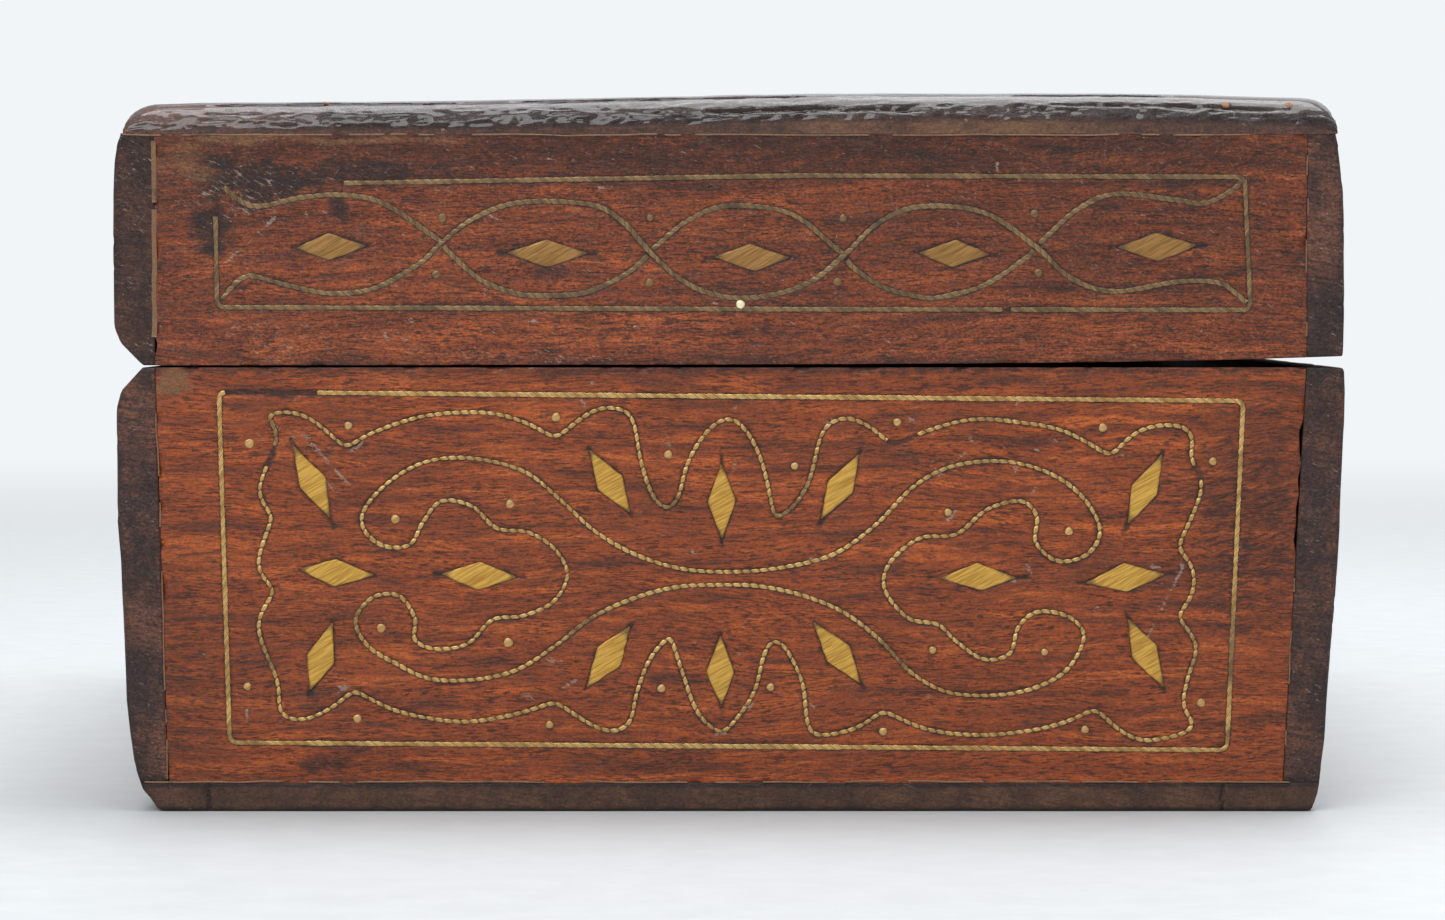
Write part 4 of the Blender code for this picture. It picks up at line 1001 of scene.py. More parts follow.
def hinge_cutters(centre, low, high):
    """The points and faces of a box for a hinge's leaves and of a cylinder for its barrel."""
    points, quads = block(HINGE_ROOM_X, [centre - HINGE_ROOM_REACH, centre + HINGE_ROOM_REACH], [low, high])
    here = np.arange(BARREL_SIDES)
    turns = here / BARREL_SIDES * 2 * math.pi
    x, z = HINGE_X + BARREL_SEAT_RADIUS * np.cos(turns), HINGE_Z + BARREL_SEAT_RADIUS * np.sin(turns)
    ends = [np.column_stack([x, np.full(BARREL_SIDES, centre + reach), z])
            for reach in (-HINGE_ROOM_REACH, HINGE_ROOM_REACH)]
    following = np.roll(here, -1)
    sides = np.column_stack([here, following, following + BARREL_SIDES, here + BARREL_SIDES])
    barrel = [sides[:, ::-1], here[None, :], here[None, ::-1] + BARREL_SIDES]
    return [(points, [quads]), (np.concatenate(ends), barrel)]


def make_hinge_room(wall, low, high):
    """Cuts the hinges' mortises and the seats of their barrels out of a back board, as in the CAD."""
    for centre in HINGE_YS:
        for points, faces in hinge_cutters(centre, low, high):
            cutter = make_piece("cutter", points, faces)
            modifier = wall.modifiers.new("hinge_room", "BOOLEAN")
            modifier.operation, modifier.solver, modifier.object = "DIFFERENCE", "EXACT", cutter
            graph = bpy.context.evaluated_depsgraph_get()
            cut = bpy.data.meshes.new_from_object(wall.evaluated_get(graph))
            wall.modifiers.clear()
            wall.data = cut
            bpy.data.objects.remove(cutter)


TOP_FLAT = FAR_Y - NEAR_Y - 2 * TOP_EDGE_RUN  # the length between the rounded ends
TOP_SIDE_RUN = 4.0  # how far the rounding of its long sides reaches in
TOP_SIDE_SHARE = 0.62  # and how much of the board's height it takes up
TOP_GROOVE = 0.3  # the top's wires lie nearly flush
TOP_FLAT_LOW = -84.0
TOP_FLAT_HIGH = 84.3
TOP_ROWS = np.concatenate([
    np.arange(-TOP_EDGE_LENGTH, -3.0, 0.26), np.arange(-3.0, -0.8, 0.17), np.arange(-0.8, 1.0, 0.26),
    np.arange(1.2, TOP_FLAT - 1.0, 1.35), np.linspace(TOP_FLAT, TOP_FLAT + TOP_EDGE_LENGTH, 15),
])
TOP_CRACKS = [  # on the near rounded edge: from x, to x, place across the edge, depth
    (-77.0, -38.0, -2.0, 0.8), (-33.0, 13.0, -1.8, 0.7), (39.0, 65.0, -2.0, 0.7), (-6.0, 30.0, -5.1, 0.3),
    (44.0, 82.0, -4.6, 0.3),
]


def top_profile(along):
    """y and the drop below the full height at a distance along the top, measured from the near rounding's end."""
    near = np.clip(-along / TOP_EDGE_LENGTH, 0, 1) * math.pi / 2
    far = np.clip((along - TOP_FLAT) / TOP_EDGE_LENGTH, 0, 1) * math.pi / 2
    y = NEAR_Y + TOP_EDGE_RUN * (1 - np.sin(near)) + np.clip(along, 0, TOP_FLAT) + TOP_EDGE_RUN * np.sin(far)
    return y, TOP_EDGE_RISE * (2 - np.cos(near) - np.cos(far))


def top_bands(along):
    """Where the near rounded edge is ridged, and where it is smooth."""
    ridged = step_between(-TOP_EDGE_LENGTH - 0.5, -TOP_EDGE_LENGTH + 1.0, along)
    ridged *= 1 - step_between(-4.6, -3.0, along)
    return ridged, step_between(-4.5, -3.2, along) * (1 - step_between(0.0, 8.0, along))


def top_cracks(arc):
    """The depth of the cracks along the near rounded edge."""
    x, along = arc[:, 0], arc[:, 1]
    crack = np.zeros(len(arc))
    for start, end, place, deep in TOP_CRACKS:
        inside = step_between(start, start + 5, x) * (1 - step_between(end - 5, end, x))
        line = place + 0.35 * noise(arc, (12.0, 400.0, 1.0), 66) + 0.12 * noise(arc, (2.5, 400.0, 1.0), 67)
        width = 0.42 * inside * (0.75 + 0.4 * noise(arc, (5.0, 400.0, 1.0), 68))
        off_line = np.abs(along - line)
        crack = np.maximum(crack, inside * deep * (1 - step_between(width * 0.5, width + 0.15, off_line)))
    return crack


def top_attributes(points, arc, halo, crack, ridges):
    """Dirt, filler, scuffs, polish and ripples of the top board."""
    x, along = arc[:, 0], arc[:, 1]
    ridged, smooth = top_bands(along)
    ragged = rough_noise(points, (9.0, 9.0, 2.0), 70)
    grime = np.maximum(np.maximum(halo, crack * 1.4), 0.45 * ridged * (ragged > -0.1))
    filler = rough_noise(points, (12.0, 5.0, 1.2), 71) - 0.5
    filler += 0.8 * step_between(12, 24, x) * (1 - step_between(36, 50, x))
    lowest = (1 - step_between(-6.5, -5.7, along)) * step_between(4.0, 16.0, x) * (1 - step_between(40.0, 64.0, x))
    lowest *= np.clip(0.75 + 0.5 * noise(arc, (5.0, 1.0, 1.0), 72), 0, 1)
    polish = step_between(-TOP_EDGE_LENGTH, -TOP_EDGE_LENGTH + 1.2, along) * step_between(-82.0, -60.0, x)
    return {
        "grime": np.clip(grime, 0, 1),
        "tan": np.clip(np.maximum(0.7 * step_between(0.1, 0.6, filler) * ridged, lowest), 0, 1),
        "pale": ridged * 0.5 * step_between(1.0, 1.5, ridges) * step_between(-60.0, -25.0, x),
        "polish": polish * (1 - 0.85 * step_between(0.0, 7.0, along)),
        "ripple": np.maximum(ridged * (0.2 + 0.8 * step_between(-74.0, -46.0, x)), 0.5 * smooth),
    }


def make_top_board(layout, material):
    """The lid's top board, with its worn, cracked near edge."""
    turns = np.radians([15, 30, 45, 60, 75, 90])
    rings = [(math.sin(turn), TOP_SIDE_SHARE * (1 - math.cos(turn))) for turn in turns]
    rings += [(1.0, depth) for depth in (0.72, 0.82, 0.92, 0.97)] + [(0.98, 1.0)]
    columns = np.linspace(TOP_FLAT_LOW, TOP_FLAT_HIGH, 330)
    (a, along, out_a, _, depth), faces = plank(columns, TOP_ROWS, rings)
    x = a + out_a * TOP_SIDE_RUN * np.where(out_a < 0, 1.02, 0.9)
    y, drop = top_profile(along)
    underside = TOP_UNDERSIDE - BOARD_OVERLAP
    points = np.column_stack([x, y, underside + (outline(TOP_OUTLINE, x) - drop - underside) * (1 - depth)])
    halo, cut = layout.marks(np.column_stack([y, -x]), (depth == 0) & (along > -1))
    arc = np.column_stack([x, along, np.zeros(len(x))])
    waved = np.column_stack([x, along + 0.8 * noise(arc, (18.0, 1.0, 1.0), 61), np.zeros(len(x))])
    ridges = 1 - np.abs(noise(waved, (2.8, 0.62, 1.0), 62)) * 2
    ridges += 0.7 * (1 - np.abs(noise(waved, (1.3, 0.5, 1.0), 63)) * 2)
    ridged, smooth = top_bands(along)
    by_edge = 1 - step_between(0.0, 3.0, along) * (1 - step_between(TOP_FLAT - 3.0, TOP_FLAT, along)) * (out_a == 0)
    crack = top_cracks(arc)
    worn_ends = step_between(0.55, 0.85, noise(points, (4.0, 9.0, 2.2), 69)) * (np.abs(x) > 85.5)
    relief = ridged * 0.14 * ridges + smooth * 0.05 * noise(waved, (6.0, 0.9, 1.0), 64)
    relief += 0.18 * rough_noise(points, (22.0, 45.0, 30.0), 65) * by_edge
    surface = depth < 0.95
    relief = (relief - crack - 0.4 * worn_ends - cut * TOP_GROOVE) * surface
    points = points + normals_of(points, faces) * relief[:, None]
    attributes = top_attributes(points, arc, halo, crack, ridges)
    attributes = {key: values * surface for key, values in attributes.items()}
    piece = make_piece("lid_top_board_wood", points, faces, attributes, flat=(1,))
    finish_piece(piece, "lid", "top_wood", material, "lid_top_board")


BOTTOM_HALF = 85  # roughly; the outlines give the exact width
BOTTOM_CRACKS = (-76.0, 71.7)


def make_bottom_board(material):
    """The bottom board, of which only a strip shows under the walls."""
    high = BOTTOM_TOP + BOARD_OVERLAP
    ys = graded(NEAR_Y, FAR_Y, 0.4, 5.0, 1.6)
    points, quads = block(np.linspace(-1, 1, 330) * BOTTOM_HALF, ys, np.linspace(0, high, 10))
    worn = 0.45 * (1 + 0.5 * noise(points, (7.0, 7.0, 3.0), 80))
    worn = np.where(points[:, 2] > high / 2, JOINT_EDGE, worn)
    points = round_edges(points, (-BOTTOM_HALF, NEAR_Y, 0), (BOTTOM_HALF, FAR_Y, high), worn)
    share = (points[:, 0] / BOTTOM_HALF + 1) / 2
    left, right = outline(BASE_BACK_OUTLINE, points[:, 2]), outline(BASE_FRONT_OUTLINE, points[:, 2])
    swell = OUTLINE_SWELL * step_between(0.0, high, points[:, 2])
    points[:, 0] = left - swell + (right - left + 2 * swell) * share
    at_end = np.abs(points[:, 1]) > FAR_Y - 0.6
    relief = 0.08 * rough_noise(points, (14.0, 30.0, 3.0), 81) + 0.05 * noise(points, (3.0, 8.0, 0.8), 82)
    crack = np.zeros(len(points))
    for x in BOTTOM_CRACKS:
        line = x + 0.3 * noise(points, (50.0, 50.0, 1.6), 83)
        crack = np.maximum(crack, 1 - step_between(0.12, 0.4, np.abs(points[:, 0] - line)))
    inner = (points[:, 2] > 0.05) & (points[:, 2] < BOTTOM_TOP)
    points = points + normals_of(points, [quads]) * ((relief - 0.5 * crack) * at_end * inner)[:, None]
    ragged = rough_noise(points, (6.0, 9.0, 1.2), 84)
    edge = np.minimum(points[:, 2], BOTTOM_TOP - points[:, 2])
    # darker within about a millimetre of its lower and upper edges, and in the cracks; this is carried in grime
    dirt = np.maximum(crack, 0.9 * (1 - step_between(0.1, 1.0 + 0.7 * ragged, edge)))
    attributes = {"grime": np.clip(dirt * at_end, 0, 1), "end": 0.6 * at_end}
    piece = make_piece("bottom_board_wood", points, [quads], attributes)
    finish_piece(piece, "base", "board_wood", material, "bottom_board")


# Inlay and small parts.

def make_inlay(layout, place, body, prefix, brasses, spacing=0.3):
    """Wires, lozenges and dots of a face: a piece for each node on the near end, and merged pieces elsewhere."""
    wire_material, plate_material, dot_material = brasses
    near, wires = place is near_end, []
    for i, (node, path, closed, style) in enumerate(layout.wires):
        seed = layout.seed + 10 * i
        runs = kept_runs(path, closed, LOST_WIRE.get(node, [])) if near else None
        if runs is None:
            strips = [wire_strip(path, closed, style, place, spacing, seed)]
        else:
            strips = [wire_strip(run, False, style, place, spacing, seed) for run in runs]
        wires.append((node, merged(strips)))
    plates = [(node, plate_solid(u, w, degrees, length, place, layout.seed + i))
              for i, (node, u, w, degrees, length) in enumerate(layout.plates)]
    dots = [dot_solid(u, w, place, i + layout.seed) for i, (u, w) in enumerate(layout.dots)]
    for kind, made, material in (("wires", wires, wire_material), ("lozenges", plates, plate_material)):
        if near:
            for node, solid in made:
                finish_piece(make_piece(f"{node}_brass", *solid), body, "inlay_brass", material, node)
        else:
            piece = make_piece(f"{prefix}_{kind}", *merged([solid for _, solid in made]))
            finish_piece(piece, body, "inlay_brass", material)
    finish_piece(make_piece(f"{prefix}_dots", *merged(dots)), body, "inlay_brass", dot_material)


TOP_PEGS = [(-59.0, -1.2, 0.5), (71.9, -3.9, 0.62), (81.2, -3.4, 0.62)]  # x, place on the rounded end, radius
LID_PIN = (1.4, 73.8)
LID_PIN_RADIUS = 0.6


def dust_line(path, lost, seed, style="dust"):
    """Old glue and dust along a joint of the near end, with this many lengths missing."""
    path = hand_drawn(evenly(np.array(path, float), 0.3), 0.14, seed)
    chance = np.random.default_rng(seed)
    gaps = [(*path[chance.integers(len(path))], chance.uniform(0.3, 1.6)) for _ in range(lost)]
    return merged([wire_strip(run, False, style, near_end, 0.25, seed) for run in kept_runs(path, False, gaps)])


def make_joint_dust(material):
    """The pale lines in the near end's joints."""
    foot, rim, joint_x = WALL_FOOT + 0.5, BASE_RIM - 3.0, INNER_RIM_X + CAD_SEAM
    base_lines = [
        dust_line([(-85.4, WALL_FOOT), (84.5, WALL_FOOT)], 16, 901),
        dust_line([(wall_inside(-1, z), z) for z in (foot, rim)], 9, 902),
        dust_line([(wall_inside(1, z), z) for z in (foot, 34.0)], 9, 903),
    ]
    lid_lines = [
        dust_line([(-88.4, WALL_TOP), (84.0, WALL_TOP)], 14, 904),
        dust_line([(joint_x, 68.0), (joint_x, 97.0)], 8, 905),
        dust_line([(-joint_x, FILLER_LOW), (-joint_x, FILLER_HIGH)], 1, 906, "filler"),
    ]
    for body, lines in (("base", base_lines), ("lid", lid_lines)):
        finish_piece(make_piece(f"{body}_near_joint_dust", *merged(lines)), body, "panel_wood", material)


def make_small_parts(peg_material, glinting_pin_material):
    """The pegs in the top board's near end, and the pin in the lid's, whose near-white brass is a painted glint."""
    for i, (x, along, radius) in enumerate(TOP_PEGS):
        piece = make_piece(f"lid_top_peg_{i + 1}_wood", *dot_solid(x, along, top_edge, 41 + i, radius))
        finish_piece(piece, "lid", "peg_wood", peg_material, f"top_peg_{i + 1}")
    # the pin is brass coloured near white: a painted glint
    pin = make_piece("lid_near_pin_painted_glint", *dot_solid(*LID_PIN, near_end, 51, LID_PIN_RADIUS))
    finish_piece(pin, "lid", "inlay_brass", glinting_pin_material)


# Materials.

def linear(red, green, blue):
    """A colour given as 0-255 sRGB, as linear light with an alpha of 1."""
    parts = [channel / 255 for channel in (red, green, blue)]
    return (*(part / 12.92 if part <= 0.04045 else ((part + 0.055) / 1.055) ** 2.4 for part in parts), 1.0)


def dimmed(colour, share):
    """A 0-255 colour made darker, as linear light."""
    return linear(*(channel * share for channel in colour))


class Shader:
    """A node material, built from the surface's place in millimetres."""

    def __init__(self, name):
        self.material = bpy.data.materials.new(name)
        self.material.use_nodes = True
        self.tree = self.material.node_tree
        self.tree.nodes.clear()
        self.surface = self.add("ShaderNodeBsdfPrincipled")
        self.output = self.add("ShaderNodeOutputMaterial")
        self.tree.links.new(self.surface.outputs[0], self.output.inputs["Surface"])
        place = self.add("ShaderNodeTexCoord").outputs["Object"]
        self.place = self.vector("SCALE", place, scale=1 / MM)

    def add(self, kind, **settings):
        node = self.tree.nodes.new(kind)
        for key, value in settings.items():
            setattr(node, key, value)
        return node

    def put(self, socket, value):
        """Links an output, or sets a plain value."""
        if isinstance(value, bpy.types.NodeSocket):
            self.tree.links.new(value, socket)
        else:
            socket.default_value = value

    def set(self, name, value):
        """Links or sets an input of the surface."""
        self.put(self.surface.inputs[name], value)

    def math(self, operation, first, second=0.0, clamp=False):
        node = self.add("ShaderNodeMath", operation=operation, use_clamp=clamp)
        self.put(node.inputs[0], first)
        self.put(node.inputs[1], second)
        return node.outputs[0]

    plus = partialmethod(math, "ADD")
    minus = partialmethod(math, "SUBTRACT")
    times = partialmethod(math, "MULTIPLY")
    larger = partialmethod(math, "MAXIMUM")

    def vector(self, operation, first, second=None, scale=None):
        node = self.add("ShaderNodeVectorMath", operation=operation)
        self.put(node.inputs[0], first)
        if second is not None:
            self.put(node.inputs[1], second)
        if scale is not None:
            self.put(node.inputs["Scale"], scale)
        return node.outputs[0]

    def step(self, value, low, high, top=1.0):
        """0 below low, top above high, smooth between. With low above high it falls instead."""
        node = self.add("ShaderNodeMapRange", interpolation_type="SMOOTHSTEP")
        falls = low > high
        self.put(node.inputs["Value"], value)
        self.put(node.inputs["From Min"], high if falls else low)
        self.put(node.inputs["From Max"], low if falls else high)
        self.put(node.inputs["To Min"], top if falls else 0.0)
        self.put(node.inputs["To Max"], 0.0 if falls else top)
        return node.outputs["Result"]

    def noise(self, sizes, detail=2.0, roughness=0.5, turn=0.0, place=None, colour=False):
        """Noise whose features have these sizes in millimetres, turned about Y by this many degrees."""
        source = self.place if place is None else place
        if turn:
            mapping = self.add("ShaderNodeMapping", vector_type="TEXTURE")
            self.put(mapping.inputs["Vector"], source)
            mapping.inputs["Rotation"].default_value = (0.0, math.radians(turn), 0.0)
            source = mapping.outputs[0]
        scaled = self.vector("DIVIDE", source, sizes)
        node = self.add("ShaderNodeTexNoise")
        self.put(node.inputs["Vector"], scaled)
        node.inputs["Scale"].default_value = 1.0
        node.inputs["Detail"].default_value = detail
        node.inputs["Roughness"].default_value = roughness
        return node.outputs["Color" if colour else "Fac"]

    def mix(self, factor, first, second):
        node = self.add("ShaderNodeMix", data_type="RGBA")
        self.put(node.inputs[0], factor)
        self.put(node.inputs[6], first)
        self.put(node.inputs[7], second)
        return node.outputs[2]

    def attribute(self, name):
        return self.add("ShaderNodeAttribute", attribute_name=name).outputs["Fac"]

    def bump(self, height, distance, strength=1.0):
        """Bumps this many millimetres high."""
        node = self.add("ShaderNodeBump")
        node.inputs["Strength"].default_value = strength
        node.inputs["Distance"].default_value = distance * MM
        self.put(node.inputs["Height"], height)
        self.set("Normal", node.outputs[0])


DUST_HAZE, GRIME, FILLER = linear(130, 106, 94), linear(36, 28, 27), linear(122, 84, 54)
SCUFFED, SPECKS, POLISHED = linear(152, 132, 118), linear(196, 158, 134), linear(46, 32, 30)


def wood_noises(shader, grain):
    """The noises that wood is made of: along the grain, slanting, and even."""
    def sizes(along, across):
        return [along if axis == grain else across for axis in range(3)]

    bend = shader.noise(sizes(38.0, 15.0), 2.0, colour=True)
    offset = shader.vector("SCALE", shader.vector("SUBTRACT", bend, (0.5, 0.5, 0.5)), scale=6.0)
    offset = shader.vector("MULTIPLY", offset, [0.0 if axis == grain else 1.0 for axis in range(3)])
    bent = shader.vector("ADD", shader.place, offset)
    return SimpleNamespace(
        figure=shader.noise(sizes(20.0, 1.7), 6.0, 0.68, place=bent),
        streaks=shader.noise(sizes(6.0, 0.50), 3.0, 0.62, place=bent),
        dashes=shader.noise(sizes(2.0, 0.25), 2.0, 0.65, place=bent),
        hatched=shader.noise((2.6, 9.0, 0.42), 2.0, 0.6, turn=-17.0),
        mottle=shader.noise((9.0, 9.0, 5.0), 5.0, 0.68),
        tone=shader.noise((46.0, 46.0, 22.0), 2.0),
        ragged=shader.noise((1.5, 1.5, 0.8), 5.0, 0.75),
        grit=shader.noise((0.42, 0.42, 0.25), 2.0, 0.7),
        saw=shader.noise((6.0, 30.0, 0.5), 3.0, 0.6, turn=9.0),
        patches=shader.noise((7.0, 7.0, 13.0), 5.0, 0.66),
    )


def bare_wood(shader, noises, at_end, colours, ends, streaky):
    """The colour of clean wood and of its end grain, with its dark streaks and pores."""
    deep, middle, light = colours
    step, mix, times, larger = shader.step, shader.mix, shader.times, shader.larger
    colour = mix(step(noises.figure, 0.31, 0.49), linear(*deep), linear(*middle))
    colour = mix(step(noises.figure, 0.48, 0.66), colour, linear(*light))
    colour = mix(step(noises.tone, 0.35, 0.7, 0.3), colour, linear(*middle))
    dark_streaks = times(step(noises.streaks, 0.50, 0.64), streaky)
    colour = mix(times(dark_streaks, step(noises.mottle, 0.30, 0.6)), colour, linear(*deep))
    hatch = shader.attribute("hatch")
    pores = larger(step(noises.dashes, 0.51, 0.61), times(step(noises.hatched, 0.49, 0.60), hatch))
    pores = times(pores, larger(step(noises.mottle, 0.80, 0.40), hatch))
    colour = mix(times(pores, 0.78), colour, dimmed(deep, 0.55))
    end_colour = mix(step(noises.patches, 0.38, 0.66), linear(*ends[0]), linear(*ends[1]))
    end_colour = mix(step(noises.saw, 0.46, 0.62, 0.7), end_colour, linear(*ends[0]))
    return mix(times(at_end, 0.95), colour, end_colour), dark_streaks, pores


def pale_marks(shader, noises, dusty):
    """The strength of scuffs, flecks and lifted fibres."""
    step, times, larger = shader.step, shader.times, shader.larger
    scuffs = shader.noise((4.0, 4.0, 0.18), 2.0, 0.6, turn=24.0)
    other_scuffs = shader.noise((3.0, 3.0, 0.16), 2.0, 0.6, turn=-47.0)
    scuffs = larger(step(scuffs, 0.69, 0.76), step(other_scuffs, 0.70, 0.77))
    scuffs = times(scuffs, step(noises.mottle, 0.45, 0.62, 0.5 * dusty))
    flecks = step(shader.noise((0.8, 0.8, 0.42), 3.0, 0.75), 0.655, 0.75, 0.75 * dusty)
    pale = shader.attribute("pale")
    fibres = shader.noise((1.3, 1.3, 0.32), 3.0, 0.75, turn=28.0)
    fibres = step(shader.plus(pale, times(shader.minus(fibres, 0.5), 3.2)), 0.55, 1.0, 0.8)
    return larger(times(fibres, step(pale, 0.02, 0.2)), larger(scuffs, flecks))


def wood_height(shader, noises, at_end, dark_streaks, pores):
    """The fine relief of wood, with the ridges of the top's worn edge."""
    plus, minus, times = shader.plus, shader.minus, shader.times
    height = minus(minus(times(noises.figure, 0.25), times(pores, 0.45)), times(dark_streaks, 0.25))
    height = plus(plus(height, times(noises.ragged, 0.35)), times(noises.grit, 0.45))
    height = plus(height, times(times(noises.saw, at_end), 0.5))
    ripples = minus(shader.noise((1.3, 0.6, 0.32), 4.0, 0.74), 0.5)
    ripples = times(shader.math("ABSOLUTE", ripples), 13.0)
    return minus(height, times(ripples, shader.attribute("ripple")))


def wood(name, grain, deep, middle, light, streaky=0.6, dusty=0.5, roughness=0.42, gritty=1.8,
         ends=((46, 34, 33), (106, 66, 50)), coat=0.0):
    """Old oiled rosewood. grain is the axis that its grain runs along, and the three colours go from dark to light.
    ends are the dark and light colours of its end grain."""
    shader = Shader(name)
    step, mix, times, plus = shader.step, shader.mix, shader.times, shader.plus
    noises, at_end = wood_noises(shader, grain), shader.attribute("end")
    colour, dark_streaks, pores = bare_wood(shader, noises, at_end, (deep, middle, light), ends, streaky)

    def marked(attribute, strength):
        """An attribute's strength, broken up by fine noise."""
        contrast = times(shader.minus(noises.ragged, 0.5), 1.8)
        return step(plus(shader.attribute(attribute), contrast), 0.12, 0.95, strength)

    shade = times(shader.attribute("shade"), step(noises.ragged, 0.1, 0.6))
    haze = step(shader.noise((4.0, 4.0, 2.0), 6.0, 0.8), 0.52, 0.80, 0.24 * dusty)
    specks = step(shader.noise((0.36, 0.36, 0.36), 1.0, 0.6), 0.775, 0.83, 0.7 * dusty)
    grime, pale, polish = marked("grime", 0.86), pale_marks(shader, noises, dusty), shader.attribute("polish")
    layers = [
        (times(shade, 0.85), dimmed(deep, 0.6)), (haze, DUST_HAZE), (grime, GRIME), (marked("tan", 0.8), FILLER),
        (pale, SCUFFED), (specks, SPECKS), (times(polish, 0.72), POLISHED),
    ]
    for strength, layer in layers:
        colour = mix(strength, colour, layer)
    unevenness = shader.larger(plus(1.0 - gritty / 2, times(noises.grit, gritty)), 0.3)
    shader.set("Base Color", shader.vector("SCALE", colour, scale=unevenness))
    rough = plus(plus(roughness - 0.1, times(noises.mottle, 0.2)), times(grime, 0.15))
    rough = plus(rough, times(pale, 0.15))
    shader.set("Roughness", shader.minus(rough, times(polish, 0.16), clamp=True))
    shader.set("Specular IOR Level", 0.35)
    if coat:
        shader.set("Coat Weight", coat)
        shader.set("Coat Roughness", 0.07)
    shader.bump(wood_height(shader, noises, at_end, dark_streaks, pores), 0.12, 0.85)
    return shader.material


def brass_wire(name, bright, dull, dark):
    """Twisted brass wire, dark with dirt in its gaps and tarnished in places."""
    shader = Shader(name)
    step, times, plus = shader.step, shader.times, shader.plus
    grain = shader.noise((0.35, 0.35, 0.35), 2.0, 0.6)
    tone = plus(times(shader.attribute("tone"), 0.5), times(grain, 0.6))
    colour = shader.mix(step(tone, 0.25, 0.85), linear(*dull), linear(*bright))
    dirty = step(plus(shader.attribute("tarnish"), times(grain, 0.35)), 0.84, 1.05, 0.7)
    dirty = shader.larger(dirty, step(shader.attribute("gap"), 0.4, 0.95, 0.85))
    shader.set("Base Color", shader.mix(dirty, colour, linear(*dark)))
    shader.set("Metallic", shader.minus(0.8, times(dirty, 0.7)))
    shader.set("Roughness", plus(0.42, times(dirty, 0.3)))
    shader.bump(grain, 0.05, 0.7)
    return shader.material


def brass_plate(name, bright, dull, dark):
    """Flat brass with slanting file marks, browner at its edges and tips."""
    shader = Shader(name)
    step, times, plus = shader.step, shader.times, shader.plus
    scratches = shader.noise((6.0, 6.0, 0.28), 3.0, 0.65, turn=-28.0)
    fine = shader.noise((4.0, 4.0, 0.12), 2.0, 0.6, turn=-36.0)
    cloud = shader.noise((2.4, 2.4, 2.4), 3.0, 0.6)
    tone = plus(times(scratches, 0.6), times(fine, 0.4))
    colour = shader.mix(step(tone, 0.38, 0.60), linear(*dull), linear(*bright))
    dirt = plus(times(shader.attribute("edge"), 0.55), times(cloud, 0.75))
    dirt = plus(dirt, step(shader.attribute("tips"), 0.6, 1.0, 0.5))
    dirty = shader.larger(step(dirt, 0.55, 1.1, 0.85), step(fine, 0.60, 0.72, 0.6))
    shader.set("Base Color", shader.mix(dirty, colour, linear(*dark)))
    shader.set("Metallic", shader.minus(0.85, times(dirty, 0.6)))
    shader.set("Roughness", plus(0.36, times(cloud, 0.25)))
    shader.bump(tone, 0.06, 0.8)
    return shader.material


def plain_finish(name, bright, dull, dark, metallic):
    """Hinge brass, screw steel or old glue: scratched, with dull patches."""
    shader = Shader(name)
    cloud = shader.noise((3.0, 3.0, 3.0), 4.0, 0.65)
    scratches = shader.noise((0.2, 7.0, 0.2), 2.0, 0.6)
    colour = shader.mix(shader.step(scratches, 0.38, 0.64), linear(*dull), linear(*bright))
    dirty = shader.step(cloud, 0.52, 0.72, 0.75)
    shader.set("Base Color", shader.mix(dirty, colour, linear(*dark)))
    shader.set("Metallic", metallic)
    shader.set("Roughness", shader.plus(0.3, shader.times(dirty, 0.4)))
    shader.bump(shader.plus(scratches, cloud), 0.05, 0.6)
    return shader.material


def give_material(nodes, material):
    """Gives a material to these CAD pieces."""
    for node in nodes:
        for slot in frame["nodes"][node].material_slots:
            slot.material = material


# The studio.

EYE_HEIGHT = 0.075
CAMERA_DISTANCE = 0.70
AIM_X = -0.0012
AIM_HEIGHT = 0.0512
FRAME_WIDTH = 0.210
SENSOR = 36.0
BACKDROP = linear(241, 245, 248)
AMBIENT = 0.5
COOL_WHITE = (0.95, 0.975, 1.0)
FLOOR_REACH = 6.0
FLOOR_HEIGHTS = (-20.0, -0.05)  # its underside and top, in millimetres, just under the box
FLOOR_FADE = (250.0, 1500.0)  # where it starts and ends to fade, in millimetres from the box's middle
SOFTBOXES = [  # name, location, size and watts
    ("overhead_softbox", (0.1, 0.1, 1.1), (0.9, 0.9), 14.0),
    ("back_softbox", (0.3, 1.25, 0.95), (1.2, 0.9), 3.2),
    ("front_softbox", (-0.45, -1.3, 1.15), (0.9, 0.9), 13.0),
]


def aim(thing, location, direction):
    """Places a camera or a light and points it along a direction."""
    thing.location = location
    thing.rotation_mode = "QUATERNION"
    thing.rotation_quaternion = direction.to_track_quat("-Z", "Y")
    bpy.context.scene.collection.objects.link(thing)


def make_camera():
    data = bpy.data.cameras.new("camera")
    data.sensor_width = SENSOR
    data.lens = SENSOR * CAMERA_DISTANCE / FRAME_WIDTH
    camera = bpy.data.objects.new("camera", data)
    near = NEAR_Y * MM
    location = Vector((AIM_X, near - CAMERA_DISTANCE, EYE_HEIGHT))
    aim(camera, location, Vector((AIM_X, near, AIM_HEIGHT)) - location)
    bpy.context.scene.camera = camera


